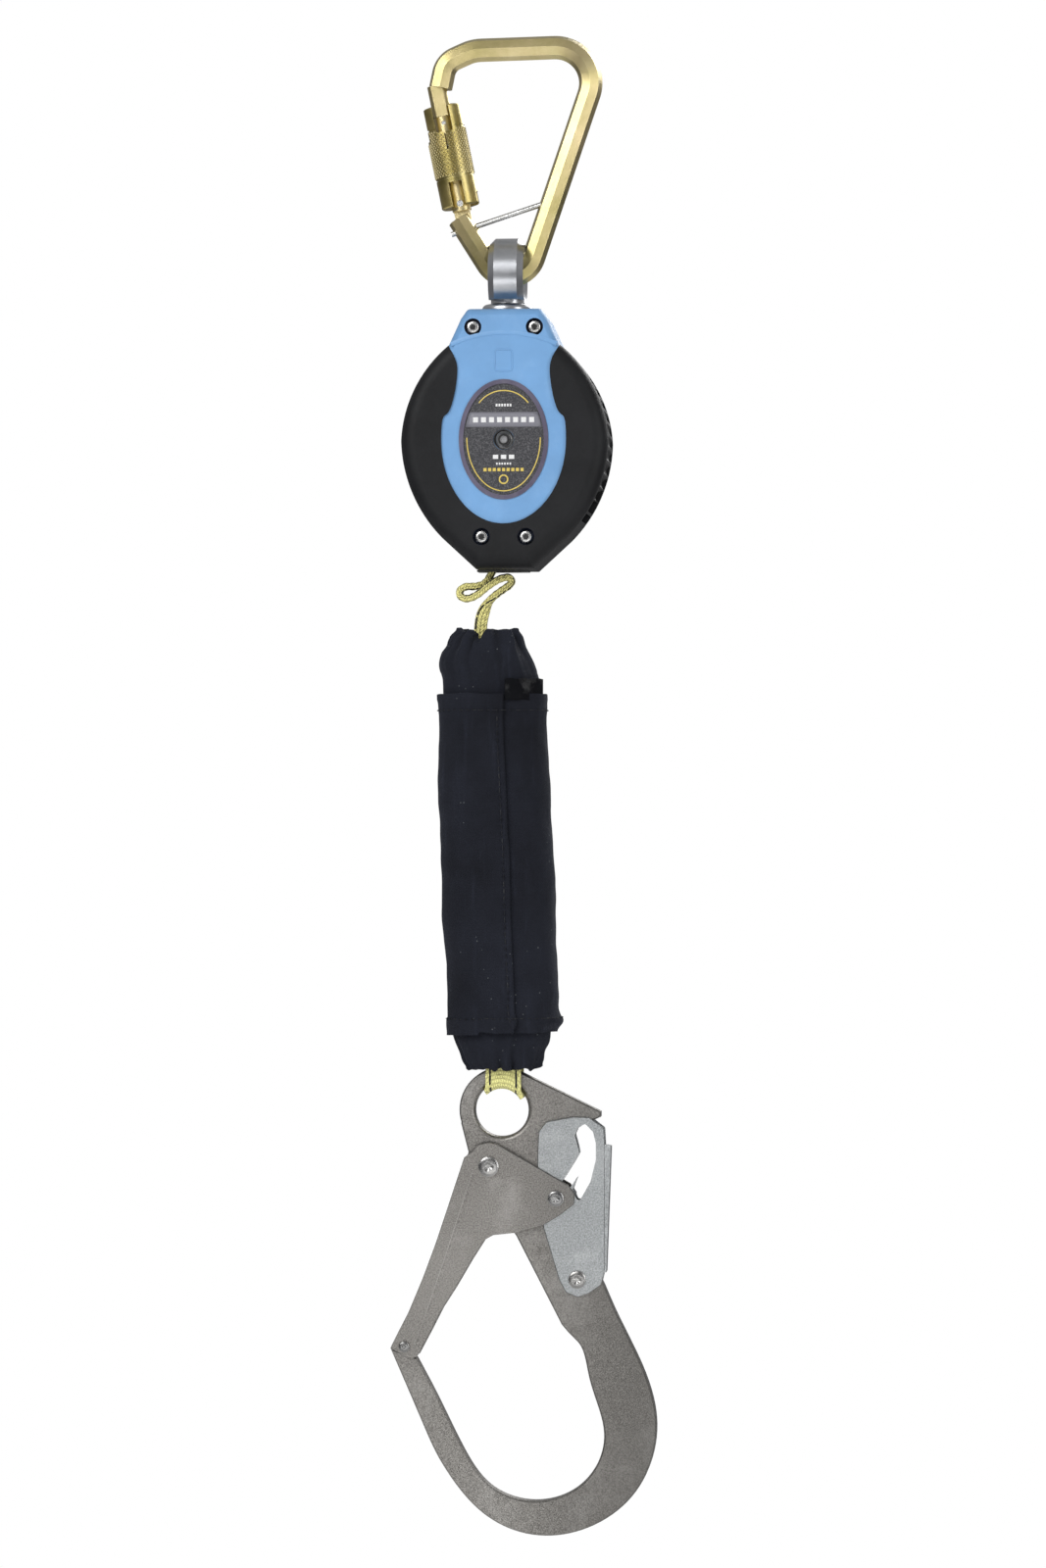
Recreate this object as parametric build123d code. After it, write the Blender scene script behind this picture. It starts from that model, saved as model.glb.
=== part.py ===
from build123d import *
import math
import os

# A self retracting lifeline hanging from its carabiner. Millimetres, +Z up.
# The origin is where an anchor bears on the inside of the carabiner's top bow.
# X runs along the width, Y from the front (-Y) to the back (+Y).

# carabiner
BAR = 10.6              # across the flats of the eight-sided bar
BOW_LEFT = (-34.0, -13.4)
BOW_ROUTE = [BOW_LEFT, (-31.4, -1.0), (-18.0, 4.9), (46.9, 6.5), (3.2, -122.1), (-24.9, -77.6)]
BOW_RADII = [10.0, 20.0, 17.5, 12.6]
HINGE = (-24.1, -70.5)  # gate hinge
GATE_TILT = -11.5       # the gate's axis leans this far to the left, in degrees
GATE_R = 5.0
GATE_TOP = 43.5         # distances along the gate's axis, from the hinge
NOSE_TIP = 37.2
SLEEVE_LOW = -1.3
SLEEVE_TOP = 48.6
SLEEVE_R = 9.5
KNURL_LOW = 13.2
KNURL_TOP = 37.6
SLEEVE_GAP = 0.08
NOSE_ROOT = 59.4        # along the gate axis, inside the bow
HINGE_GAP = 0.25        # each side of a hinge lug in its fork
PIN_GAP = 0.05          # radial clearance of hinge pins
LUG = 1.9               # half thickness of the gate hinge's lug
HINGE_PIN_R = 1.55
CAPTIVE_PIN_R = 1.3
CAPTIVE_FROM = (-28.6, -85.3)
CAPTIVE_TO = (18.2, -70.0)

# swivel eye
EYE_X = -1.0            # the swivel axis is the vertical line at this X
EYE_Z = -105.7
EYE_R = 18.2
EYE_HALF_WIDTH = 8.6
EYE_BEVEL = 3.0
EYE_HOLE_R = 6.3
EYE_FLARE_R = 6.2
STEM_R = 8.2
SHANK_R = 6.0

# housing
TOP_Z = -123.6
CENTRE_Z = -187.4
BOTTOM_Z = -250.0
HALF_WIDTH = 50.5
HALF_DEPTH = 26.0
TOP_HALF = 17.8
TOP_ROUND = 2.6         # radius of the housing's upper corners
BOTTOM_HALF = 14.0
RIM_ROUND = 7.0         # radius of the bumper's outer edge
BUMPER_WALL = 4.0
COVER_WALL = 3.0
PANEL_STEP = 1.0        # how far the blue panel lies below the bumper
NOTCHES = 13            # grip notches on each side of the bumper
NOTCH_R = 3.2
SCREW_TOP = (15.0, -132.8)
SCREW_LOW = (10.8, -234.6)
SCREW_R = 2.0
SCREW_HEAD_R = 2.75
RECESS_R = 4.2
HEX_KEY = 2.5
CENTRE_HOLE_R = 4.9
LABEL_A = 21.8
LABEL_B = 29.2
BEZEL = 2.2

# inside the housing
PLATE = 2.0             # thickness of the steel frame
PLATE_Y = 17.2          # inner face of each frame arm
SHAFT_R = 5.0
DRUM_R = 30.0
HUB_R = 12.0
LINE_R = 26.5           # the wound line's outside radius
DRUM_FRONT = -8.5
DRUM_BACK = 7.5
FLANGE = 1.5
RING_IN = 25.0          # tip circle of the ratchet ring's inner teeth
RING_OUT = 32.0
TEETH = 12
PAWL_PIVOT_R = 15.5
PAWL_Y = (7.8, 11.3)
TIE_DROP = 35.6         # the tie bolt lies this far under the shaft
TIE_R = 2.45

# lifeline: a limp narrow webbing, drawn as a thin tube along its middle
LINE_D = 2.6
NOZZLE_Z = -249.6
LINE_ROUTE = [(-8.4, 2.2, NOZZLE_Z), (-11.0, 2.2, -256.0), (-16.8, 1.7, -257.9), (-22.5, 0.9, -257.6),
              (-25.4, 0.0, -260.9), (-22.5, -1.0, -264.3), (-16.6, -1.8, -262.8), (-10.6, -2.2, -257.6),
              (-4.6, -2.2, -253.9), (0.3, -1.3, -253.1), (1.3, 0.3, -256.4), (-4.4, 1.2, -259.9),
              (-10.1, 1.2, -264.4), (-13.2, 0.6, -270.6), (-14.5, 0.0, -277.4), (-14.5, 0.0, -284.2)]

# energy absorber, each section as (z, centre x, half width, half depth)
CLOTH = 1.6
SLEEVE_SECTIONS = [(-279.0, -12.7, 15.5, 11.0), (-288.0, -13.0, 19.0, 15.0), (-297.0, -10.8, 23.6, 17.0),
                   (-311.0, -9.1, 24.2, 17.4), (-473.0, -4.6, 24.2, 17.4), (-484.0, -3.2, 20.6, 16.4),
                   (-492.6, -2.2, 17.0, 15.0)]
WRAP_SECTIONS = [(-311.0, -9.1, 26.2, 19.4), (-470.0, -4.6, 28.0, 19.8), (-476.0, -4.4, 26.6, 19.4)]
WRAP_GAP = 0.1
PACK_SIZE = (33.0, 17.0, 140.0)
PACK_AT = (-7.0, -392.0)
WEB_WIDTH = 17.5
WEB_THICK = 2.0
LOOP_X = -2.6
LOOP_Y = 6.6            # inner face of each strand of the hook loop

# rebar hook
HOOK_HALF = 4.2         # half thickness of the body
HOOK_EDGE = 0.8
PLATE_EDGE = 0.35
LEVER_Y = (4.5, 6.1)
GATE_Y = (6.4, 8.0)
EYE_AT = (-3.6, -514.0)
HOOK_EYE_R = 13.0
HOOK_RING_R = 20.8
GATE_PIVOT = (-9.7, -541.5)
GATE_STUD = (23.2, -556.9)
LEVER_PIVOT = (33.5, -596.6)
TIP_RIVET = (-51.1, -629.8)
HOOK_GATE_OPEN = 34.0   # degrees
LEVER_RATIO = 0.3       # lever angle over gate angle
PIVOT_R = 3.5
STUD_R = 2.1
LEVER_PIN_R = 3.0
STUD_GAP = 0.45


def slab(face, y_front, y_back):
    """Extrude a face drawn in (x, z) from y_front to y_back."""
    placed = Plane.XZ.offset(-y_front) * face
    return extrude(placed, amount=y_back - y_front, dir=(0, 1, 0))


def outline(points):
    return make_face(Polyline(*points, close=True))


def rounded(points, radius):
    return make_face(FilletPolyline(*points, radius=radius, close=True))


def peg(x, z, radius, y_front, y_back):
    """A round peg along Y."""
    return slab(Pos(x, z) * Circle(radius), y_front, y_back)


def post(x, radius, z_low, z_high):
    """A round post along Z on the plane y = 0."""
    return Pos(x, 0, (z_low + z_high) / 2) * Cylinder(radius, z_high - z_low)


def tube(radius_in, radius_out, length):
    return Cylinder(radius_out, length) - Cylinder(radius_in, length)


def coil(radius, wire, pitch, height):
    """A coil spring along +Z from its foot."""
    path = Helix(pitch=pitch, height=height, radius=radius)
    start = Plane(origin=path @ 0, z_dir=path % 0)
    return sweep(start * Circle(wire / 2), path=path, is_frenet=True)


def mirror_y(shape):
    return mirror(shape, about=Plane.XZ)


def axis_frame(distance=0.0):
    """Local frame of the carabiner's gate: z along the gate, x inward."""
    base = Location((HINGE[0], 0, HINGE[1]), (0, GATE_TILT, 0))
    return base * Location((0, 0, distance))


# ---------------------------------------------------------------- carabiner

def captive_hole(radius):
    start = Vector(CAPTIVE_FROM[0], 0, CAPTIVE_FROM[1])
    end = Vector(CAPTIVE_TO[0], 0, CAPTIVE_TO[1])
    path = Line(start, end)
    return sweep(Plane(origin=path @ 0, z_dir=path % 0) * Circle(radius), path=path)


def carabiner_body():
    points = [(x, 0, z) for x, z in BOW_ROUTE]
    path = FilletPolyline(*points, radius=BOW_RADII)
    section = RegularPolygon(BAR / 2, 8, major_radius=False)
    start = Plane(origin=path @ 0, z_dir=path % 0, x_dir=(0, 1, 0))
    bar = sweep(start * section, path=path)
    nose_length = NOSE_ROOT - GATE_TOP - 0.4
    neck = Box(2 * GATE_R - 0.6, 1.52 * GATE_R, nose_length) & Cylinder(GATE_R - 0.25, nose_length)
    neck = axis_frame(GATE_TOP + 0.4 + nose_length / 2) * neck
    tongue = Box(1.28 * GATE_R, 2 * LUG, GATE_TOP + 1 - NOSE_TIP)
    tongue = axis_frame((GATE_TOP + 1 + NOSE_TIP) / 2) * tongue
    notch = axis_frame(40.4) * Pos(3.5, 0, 0) * Box(7.0, 9, 3.0)
    notch += axis_frame(40.4) * Rot(90, 0, 0) * Cylinder(1.5, 9)
    lug_low = -9.4
    lug = Box(1.56 * GATE_R, 2 * LUG, -lug_low)
    lug = axis_frame(lug_low / 2) * lug
    lug += axis_frame() * Rot(90, 0, 0) * Cylinder(0.78 * GATE_R, 2 * LUG)
    hole = axis_frame() * Rot(90, 0, 0) * Cylinder(HINGE_PIN_R + PIN_GAP, 9)
    body = bar + neck + (tongue - notch) + lug
    return body - hole - captive_hole(CAPTIVE_PIN_R + 0.04)


def captive_pin():
    return captive_hole(CAPTIVE_PIN_R)


def carabiner_gate():
    low = -3.4
    shaft = Pos(0, 0, (low + GATE_TOP) / 2) * Cylinder(GATE_R, GATE_TOP - low)
    fork = Pos(0, 0, 0.4) * Box(20, 2 * (LUG + HINGE_GAP), 9.6)
    fork += Pos(0, 0, -4) * Box(20, 2 * (LUG + HINGE_GAP), 4)
    top_slot = Pos(0, 0, GATE_TOP - 2.5) * Box(20, 2 * (LUG + HINGE_GAP), 9.6)
    pin_hole = Rot(90, 0, 0) * Cylinder(HINGE_PIN_R, 20)
    catch_hole = Pos(0, 0, 40.4) * Rot(90, 0, 0) * Cylinder(1.0, 20)
    bore = Pos(0, 0, 16.0) * Cylinder(2.6, 22.0)
    return axis_frame() * (shaft - fork - top_slot - pin_hole - catch_hole - bore)


def gate_hinge_pin():
    return axis_frame() * Rot(90, 0, 0) * Cylinder(HINGE_PIN_R, 1.86 * GATE_R)


def gate_catch_pin():
    return axis_frame(40.4) * Rot(90, 0, 0) * Cylinder(1.0, 1.72 * GATE_R)


def gate_plunger():
    return axis_frame(8.6) * Cylinder(2.45, 6.0)


def gate_spring():
    return axis_frame(12.2) * coil(1.9, 0.7, 1.9, 13.4)


def lock_sleeve():
    length = SLEEVE_TOP - SLEEVE_LOW
    body = Pos(0, 0, (SLEEVE_TOP + SLEEVE_LOW) / 2) * Cylinder(SLEEVE_R, length)
    body = chamfer(body.edges().filter_by(GeomType.CIRCLE), 0.6)
    bore = Pos(0, 0, length / 2) * Cylinder(GATE_R + SLEEVE_GAP, length + 40)
    groove = Pos(0, 0, KNURL_LOW) * tube(SLEEVE_R - 0.5, SLEEVE_R + 1, 0.9)
    groove += Pos(0, 0, KNURL_TOP) * tube(SLEEVE_R - 0.5, SLEEVE_R + 1, 0.9)
    top_slot = Pos(0, -10, SLEEVE_TOP - 6.5 + 1) * Box(8.3, 20, 15)
    slit = Pos(0, -10, SLEEVE_TOP - 17) * Box(1.0, 20, 10)
    side_slot = Pos(-10, 0, SLEEVE_TOP - 8 + 1) * Box(20, 8.3, 18)
    low_slot = Pos(0, -10, SLEEVE_LOW + 6 - 1) * Box(6.5, 20, 14)
    low_side = Pos(10, 0, SLEEVE_LOW + 3 - 1) * Box(20, 6.5, 8)
    pocket = Pos(0, 0, 26) * Cylinder(6.4, 9.0)
    return axis_frame() * (body - bore - groove - top_slot - slit - side_slot - low_slot - low_side - pocket)


def sleeve_spring():
    return axis_frame(22.3) * coil(5.72, 0.8, 2.4, 7.3)


# ---------------------------------------------------------------- swivel

def swivel_eye():
    ring = Rot(0, 90, 0) * Cylinder(EYE_R, 2 * EYE_HALF_WIDTH)
    ring = chamfer(ring.edges().filter_by(GeomType.CIRCLE), EYE_BEVEL)
    r = EYE_FLARE_R
    edge = EYE_HOLE_R + r
    out = EYE_HALF_WIDTH + 0.4
    rise = edge + (out - r)
    left = Line((-out, 0), (-out, rise))
    slope_left = Line((-out, rise), (-r, edge))
    arc = ThreePointArc((-r, edge), (0, EYE_HOLE_R), (r, edge))
    slope_right = Line((r, edge), (out, rise))
    right = Line((out, rise), (out, 0))
    base = Line((out, 0), (-out, 0))
    profile = make_face(left + slope_left + arc + slope_right + right + base)
    hole = revolve(profile, axis=Axis.X)
    foot = Pos(0, 0, -12.5 - 20) * Box(60, 60, 40)
    eye = Pos(EYE_X, 0, EYE_Z) * (ring - hole - foot)
    shoulder = TOP_Z + 4.0
    stem = post(EYE_X, STEM_R, shoulder, EYE_Z - 11)
    shank = post(EYE_X, SHANK_R, TOP_Z - 17.4, EYE_Z - 12)
    return eye + stem + shank


def swivel_collar():
    dome = post(EYE_X, 12.5, TOP_Z, TOP_Z + 3.6)
    dome = fillet(dome.edges().filter_by(GeomType.CIRCLE).sort_by(Axis.Z)[-1], 2.4)
    neck = post(EYE_X, 9.0, TOP_Z - 5.8, TOP_Z)
    return dome + neck - post(EYE_X, SHANK_R + 0.08, TOP_Z - 8, TOP_Z + 8)


def bearing_washer():
    return post(EYE_X, 9.5, TOP_Z - 12.4, TOP_Z - 10.4) - post(EYE_X, SHANK_R + 0.08, TOP_Z - 14, TOP_Z - 8)


def swivel_nut():
    nut = Pos(EYE_X, 0, TOP_Z - 14.6) * extrude(RegularPolygon(8.6, 6), amount=4.0)
    nut = Pos(0, 0, -2.0) * nut
    return nut - post(EYE_X, SHANK_R, TOP_Z - 20, TOP_Z - 8)


# ---------------------------------------------------------------- housing

def housing_face(inset=0.0):
    """Outline of the housing, drawn about x = 0 and moved to the swivel axis."""
    side = [(TOP_HALF, TOP_Z), (21.2, TOP_Z - 4.8), (27.0, TOP_Z - 17.4)]
    first = Polyline(*side)
    upper = ThreePointArc(side[-1], (0.868 * HALF_WIDTH, CENTRE_Z + 25.4), (HALF_WIDTH, CENTRE_Z))
    low_join = (0.6 * HALF_WIDTH, BOTTOM_Z + 15.0)
    lower = ThreePointArc((HALF_WIDTH, CENTRE_Z), (0.876 * HALF_WIDTH, CENTRE_Z - 27.4), low_join)
    last = Polyline(low_join, (BOTTOM_HALF, BOTTOM_Z), (0, BOTTOM_Z))
    top = Line((0, TOP_Z), (TOP_HALF, TOP_Z))
    right = top + first + upper + lower + last
    face = make_face(right + mirror(right, about=Plane.YZ))
    corners = [corner for corner in face.vertices() if corner.Y > TOP_Z - 0.1 and abs(corner.X) > 1]
    face = fillet(corners, TOP_ROUND)
    if inset:
        face = offset(face, amount=-inset, kind=Kind.ARC)
    return Pos(EYE_X, 0) * face


def panel_face():
    """The hourglass panel of the cover, open to the neck at the top."""
    edge = Spline((27.6, TOP_Z - 16.8), (22.9, TOP_Z - 26.5), (22.7, TOP_Z - 34.0),
                  (27.2, TOP_Z - 51.0), (30.4, CENTRE_Z), tangents=((-0.5, -1), (0, -1)))
    bottom = Bezier((30.4, CENTRE_Z), (30.4, CENTRE_Z - 22.5), (16.8, CENTRE_Z - 40.8), (0, CENTRE_Z - 40.8))
    top = Polyline((0, TOP_Z + 2), (30, TOP_Z + 2), (30, TOP_Z - 12), (27.6, TOP_Z - 16.8))
    right = top + edge + bottom
    return Pos(EYE_X, 0) * make_face(right + mirror(right, about=Plane.YZ))


def outer_block():
    block = slab(housing_face(), -HALF_DEPTH, 0)
    front = block.edges().filter_by_position(Axis.Y, -HALF_DEPTH - 0.01, -HALF_DEPTH + 0.01)
    return fillet(front, RIM_ROUND)


def grip_notches():
    notches = []
    for side in (-1, 1):
        for index in range(NOTCHES):
            angle = math.radians(-52.0 + index * 88.0 / (NOTCHES - 1))
            reach = HALF_WIDTH + 1.9 - 1.3 * max(0.0, abs(math.degrees(angle)) - 30.0) / 20.0
            x = EYE_X + side * reach * math.cos(angle)
            z = CENTRE_Z + reach * math.sin(angle)
            notches.append(peg(x, z, NOTCH_R, -17.0, 1.0))
    return notches


def screw_places():
    places = []
    for side in (-1, 1):
        places.append((EYE_X + side * SCREW_TOP[0], SCREW_TOP[1]))
        places.append((EYE_X + side * SCREW_LOW[0], SCREW_LOW[1]))
    return places


def screw_cuts():
    cuts = []
    for x, z in screw_places():
        cuts.append(peg(x, z, SCREW_R + 0.15, -HALF_DEPTH - 1, 1))
        cuts.append(peg(x, z, RECESS_R, -HALF_DEPTH - 1, -HALF_DEPTH + 4.6))
    return cuts


def front_bumper():
    block = outer_block() - slab(panel_face(), -HALF_DEPTH - 1, 1)
    block -= slab(housing_face(BUMPER_WALL), -HALF_DEPTH + BUMPER_WALL, 1)
    for cut in grip_notches():
        block -= cut
    for cut in screw_cuts():
        block -= cut
    block -= nozzle_space()
    return keep_largest(block)


def keep_largest(shape):
    return shape.solids().sort_by(SortBy.VOLUME)[-1]


def nozzle_space():
    return Pos(EYE_X - 2.0, 0, BOTTOM_Z + 2.5) * Box(22.2, 12.2, 17)


def panel_block():
    block = outer_block() & slab(panel_face(), -HALF_DEPTH - 1, 0)
    return block & slab(housing_face(), -HALF_DEPTH + PANEL_STEP, 0)


def front_cover():
    shell = slab(housing_face(BUMPER_WALL + 0.05), -HALF_DEPTH + BUMPER_WALL + 0.05, 0)
    shell += panel_block()
    cavity = slab(housing_face(BUMPER_WALL + COVER_WALL), -HALF_DEPTH + BUMPER_WALL + COVER_WALL - 0.4, 1)
    shell -= cavity
    for x, z in screw_places():
        shell += peg(x, z, 4.4, -HALF_DEPTH + BUMPER_WALL + 1, 0) & slab(housing_face(BUMPER_WALL + 0.05), -30, 0)
    for cut in screw_cuts():
        shell -= cut
    shell -= peg(EYE_X, CENTRE_Z, CENTRE_HOLE_R, -HALF_DEPTH - 1, -10)
    recess = Pos(EYE_X, CENTRE_Z) * Ellipse(LABEL_A, LABEL_B)
    shell -= slab(recess, -HALF_DEPTH - 1, -HALF_DEPTH + PANEL_STEP + 0.9)
    shell -= post(EYE_X, 9.1, TOP_Z - 8, TOP_Z + 1)
    shell -= nozzle_space()
    return keep_largest(shell)


def label_bezel():
    ring = Pos(EYE_X, CENTRE_Z) * (Ellipse(LABEL_A - 0.05, LABEL_B - 0.05) - Ellipse(LABEL_A - BEZEL, LABEL_B - BEZEL))
    body = slab(ring, -HALF_DEPTH + PANEL_STEP - 0.5, -HALF_DEPTH + PANEL_STEP + 0.9)
    return body


def front_label():
    plate = Pos(EYE_X, CENTRE_Z) * Ellipse(LABEL_A - BEZEL - 0.05, LABEL_B - BEZEL - 0.05)
    plate = slab(plate, -HALF_DEPTH + PANEL_STEP + 0.1, -HALF_DEPTH + PANEL_STEP + 0.9)
    return plate - peg(EYE_X, CENTRE_Z, CENTRE_HOLE_R + 0.2, -40, 0)


def housing_screws():
    screws = []
    for x, z in screw_places():
        head = peg(x, z, SCREW_HEAD_R, -HALF_DEPTH + 1.6, -HALF_DEPTH + 4.6)
        key = slab(Pos(x, z) * RegularPolygon(HEX_KEY / 2, 6, major_radius=False), -HALF_DEPTH, -HALF_DEPTH + 3.2)
        shank = peg(x, z, SCREW_R, -HALF_DEPTH + 4.6, HALF_DEPTH - 6.8)
        screws.append(head - key + shank)
    return Compound(children=screws)


def housing_nuts():
    nuts = []
    for x, z in screw_places():
        nut = peg(x, z, 3.6, HALF_DEPTH - 4.6, HALF_DEPTH - 2.0)
        nut += peg(x, z, 3.0, HALF_DEPTH - 6.4, HALF_DEPTH - 4.6) - peg(x, z, 3.0, 0, HALF_DEPTH - 4.6)
        key = slab(Pos(x, z) * RegularPolygon(HEX_KEY / 2, 6, major_radius=False), HALF_DEPTH - 3.4, HALF_DEPTH)
        nuts.append(nut - key)
    return Compound(children=nuts)


def line_nozzle():
    block = Pos(EYE_X - 2.0, 0, BOTTOM_Z + 5.4) * Box(22.0, 12.0, 11.0)
    lip = Pos(EYE_X - 2.0, 0, BOTTOM_Z - 0.45) * Box(25.0, 14.6, 0.8)
    throat = Pos(EYE_X - 2.0, 0, BOTTOM_Z) * Box(18.0, 7.8, 60)
    return block + lip - throat


# ---------------------------------------------------------------- mechanism

def frame_bracket():
    web_top = TOP_Z - 8.0
    web = Pos(EYE_X, 0, web_top - 1.2) * Box(19.0, 2 * (PLATE_Y + PLATE), 2.4)
    arms = []
    for side in (-1, 1):
        y = side * (PLATE_Y + PLATE / 2)
        shape = rounded([(-9.5, web_top), (9.5, web_top), (16.0, CENTRE_Z), (8.0, CENTRE_Z - TIE_DROP - 6.0),
                         (-8.0, CENTRE_Z - TIE_DROP - 6.0), (-16.0, CENTRE_Z)], 4.0)
        arm = slab(Pos(EYE_X, 0) * shape, y - PLATE / 2, y + PLATE / 2)
        arms.append(arm)
    bracket = web + arms[0] + arms[1]
    bracket -= post(EYE_X, SHANK_R + 0.3, web_top - 5, web_top + 5)
    bracket -= peg(EYE_X, CENTRE_Z, SHAFT_R, -30, 30)
    bracket -= peg(EYE_X, CENTRE_Z - TIE_DROP, TIE_R + PIN_GAP, -30, 30)
    return bracket


def drum_shaft():
    reach = PLATE_Y + PLATE
    shaft = peg(EYE_X, CENTRE_Z, SHAFT_R, -reach, reach)
    return shaft - peg(EYE_X, CENTRE_Z, 1.6, -reach - 1, -reach + 9)


def centre_screw():
    reach = PLATE_Y + PLATE
    head = peg(EYE_X, CENTRE_Z, 2.9, -reach - 3.4, -reach)
    key = slab(Pos(EYE_X, CENTRE_Z) * RegularPolygon(HEX_KEY / 2, 6, major_radius=False), -reach - 4, -reach - 1.6)
    return head - key + peg(EYE_X, CENTRE_Z, 1.55, -reach, -reach + 8)


def tie_bolt():
    reach = PLATE_Y + PLATE
    return peg(EYE_X, CENTRE_Z - TIE_DROP, TIE_R, -reach, reach)


def spring_cup():
    cup = peg(EYE_X, CENTRE_Z, 24.5, -17.2, -9.0) - peg(EYE_X, CENTRE_Z, 23.3, -16.0, -8.0)
    return cup - peg(EYE_X, CENTRE_Z, SHAFT_R + 0.05, -20, 0)


def power_spring():
    turns = 7
    steps = 16 * turns
    inner = []
    outer = []
    for index in range(steps + 1):
        angle = 2 * math.pi * index / 16
        radius = 9.0 + 13.0 * index / steps
        inner.append((radius * math.cos(angle), radius * math.sin(angle)))
        outer.append(((radius + 0.9) * math.cos(angle), (radius + 0.9) * math.sin(angle)))
    face = make_face(Polyline(*inner, *reversed(outer), close=True))
    return slab(Pos(EYE_X, CENTRE_Z) * face, -15.6, -9.6)


def drum():
    hub = peg(0, 0, HUB_R, DRUM_FRONT, DRUM_BACK)
    hub += peg(0, 0, DRUM_R, DRUM_FRONT, DRUM_FRONT + FLANGE)
    hub += peg(0, 0, DRUM_R, DRUM_BACK - FLANGE, DRUM_BACK)
    for index in range(6):
        angle = math.radians(60 * index + 30)
        spot = (19.0 * math.cos(angle), 19.0 * math.sin(angle))
        if index % 3 != 1:
            hub -= peg(spot[0], spot[1], 3.4, DRUM_BACK - FLANGE - 0.1, DRUM_BACK + 1)
    for x, z in pawl_spots():
        hub -= peg(x, z, 2.0, DRUM_BACK - FLANGE - 0.1, DRUM_BACK + 1)
    hub = hub - peg(0, 0, SHAFT_R + 1.6, -20, 20)
    return Pos(EYE_X, 0, CENTRE_Z) * hub


def drum_bush():
    bush = peg(EYE_X, CENTRE_Z, SHAFT_R + 1.6, DRUM_FRONT, DRUM_BACK)
    return bush - peg(EYE_X, CENTRE_Z, SHAFT_R + 0.05, -20, 20)


def wound_line():
    roll = peg(EYE_X, CENTRE_Z, LINE_R, DRUM_FRONT + FLANGE, DRUM_BACK - FLANGE)
    return roll - peg(EYE_X, CENTRE_Z, HUB_R, -20, 20)


def pawl_spots():
    return [(PAWL_PIVOT_R * side, 0.0) for side in (-1, 1)]


def pawl(side):
    """A pawl whose nose swings outward about its pin."""
    shape = rounded([(12.0, -3.2), (18.6, -3.6), (20.6, 4.0), (19.4, 13.4), (16.4, 12.6), (13.4, 2.0)], 0.8)
    body = slab(shape, PAWL_Y[0], PAWL_Y[1])
    body -= peg(PAWL_PIVOT_R, 0, 2.05, 0, 20)
    if side < 0:
        body = body.rotate(Axis.Y, 180)
    return Pos(EYE_X, 0, CENTRE_Z) * body


def pawl_pins():
    pins = []
    for x, z in pawl_spots():
        pin = peg(EYE_X + x, CENTRE_Z + z, 2.0, DRUM_BACK - FLANGE, PAWL_Y[1] + 0.3)
        pins.append(pin)
    return Compound(children=pins)


def ratchet_ring():
    ring = peg(0, 0, RING_OUT, PAWL_Y[0], PAWL_Y[1] + 1.2) - peg(0, 0, RING_IN + 3.0, 0, 20)
    for index in range(TEETH):
        angle = 360.0 / TEETH * index + 15.0
        tooth = rounded([(RING_IN, -0.4), (RING_IN + 4, -2.8), (RING_IN + 4, 2.0), (RING_IN + 0.2, 0.6)], 0.2)
        ring += slab(Rot(0, 0, angle) * tooth, PAWL_Y[0], PAWL_Y[1] + 1.2)
    plate = peg(0, 0, RING_OUT, PAWL_Y[1] + 1.2, PAWL_Y[1] + 3.0)
    plate += peg(0, 0, 10.0, PAWL_Y[1] + 3.0, PLATE_Y)
    plate += peg(0, -TIE_DROP, 6.0, PAWL_Y[1] + 1.2, PLATE_Y)
    plate -= peg(0, 0, SHAFT_R, 0, 30)
    plate -= peg(0, -TIE_DROP, TIE_R + PIN_GAP, 0, 30)
    return Pos(EYE_X, 0, CENTRE_Z) * (ring + plate)


# ---------------------------------------------------------------- lifeline and absorber

def line_radii():
    points = [Vector(*point) for point in LINE_ROUTE]
    radii = []
    for before, here, after in zip(points, points[1:], points[2:]):
        run_in = here - before
        run_out = after - here
        half_turn = math.radians(run_in.get_angle(run_out)) / 2
        radii.append(round(0.45 * min(run_in.length, run_out.length) / math.tan(half_turn), 2))
    return radii


def lifeline():
    radii = line_radii()
    path = FilletPolyline(*LINE_ROUTE, radius=radii)
    section = Plane(origin=path @ 0, z_dir=path % 0) * Circle(LINE_D / 2)
    body = sweep(section, path=path)
    print("lifeline radii", radii)
    print("lifeline length", round(path.length, 1), "volume over section x length",
          round(body.volume / (math.pi * LINE_D ** 2 / 4 * path.length), 4))
    return body


def cloth_loft(sections, grow=0.0):
    faces = []
    for z, x, half_width, half_depth in sections:
        faces.append(Plane.XY.offset(z) * Pos(x, 0) * Ellipse(half_width + grow, half_depth + grow))
    return loft(faces, ruled=True)


def absorber_sleeve():
    top = SLEEVE_SECTIONS[0]
    low = SLEEVE_SECTIONS[-1]
    above = (top[0] + 4, top[1], top[2] - CLOTH, top[3] - CLOTH)
    below = (low[0] - 4, low[1], low[2] - CLOTH, low[3] - CLOTH)
    hollow = [above]
    for z, x, half_width, half_depth in SLEEVE_SECTIONS:
        hollow.append((z, x, half_width - CLOTH, half_depth - CLOTH))
    hollow.append(below)
    return cloth_loft(SLEEVE_SECTIONS) - cloth_loft(hollow)


def absorber_wrap():
    hollow = cloth_loft(SLEEVE_SECTIONS, WRAP_GAP)
    return keep_largest(cloth_loft(WRAP_SECTIONS) - hollow)


def tear_pack():
    block = Box(*PACK_SIZE)
    block = fillet(block.edges().filter_by(Axis.Y), 6.0)
    return Pos(PACK_AT[0], 0, PACK_AT[1]) * block


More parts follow.
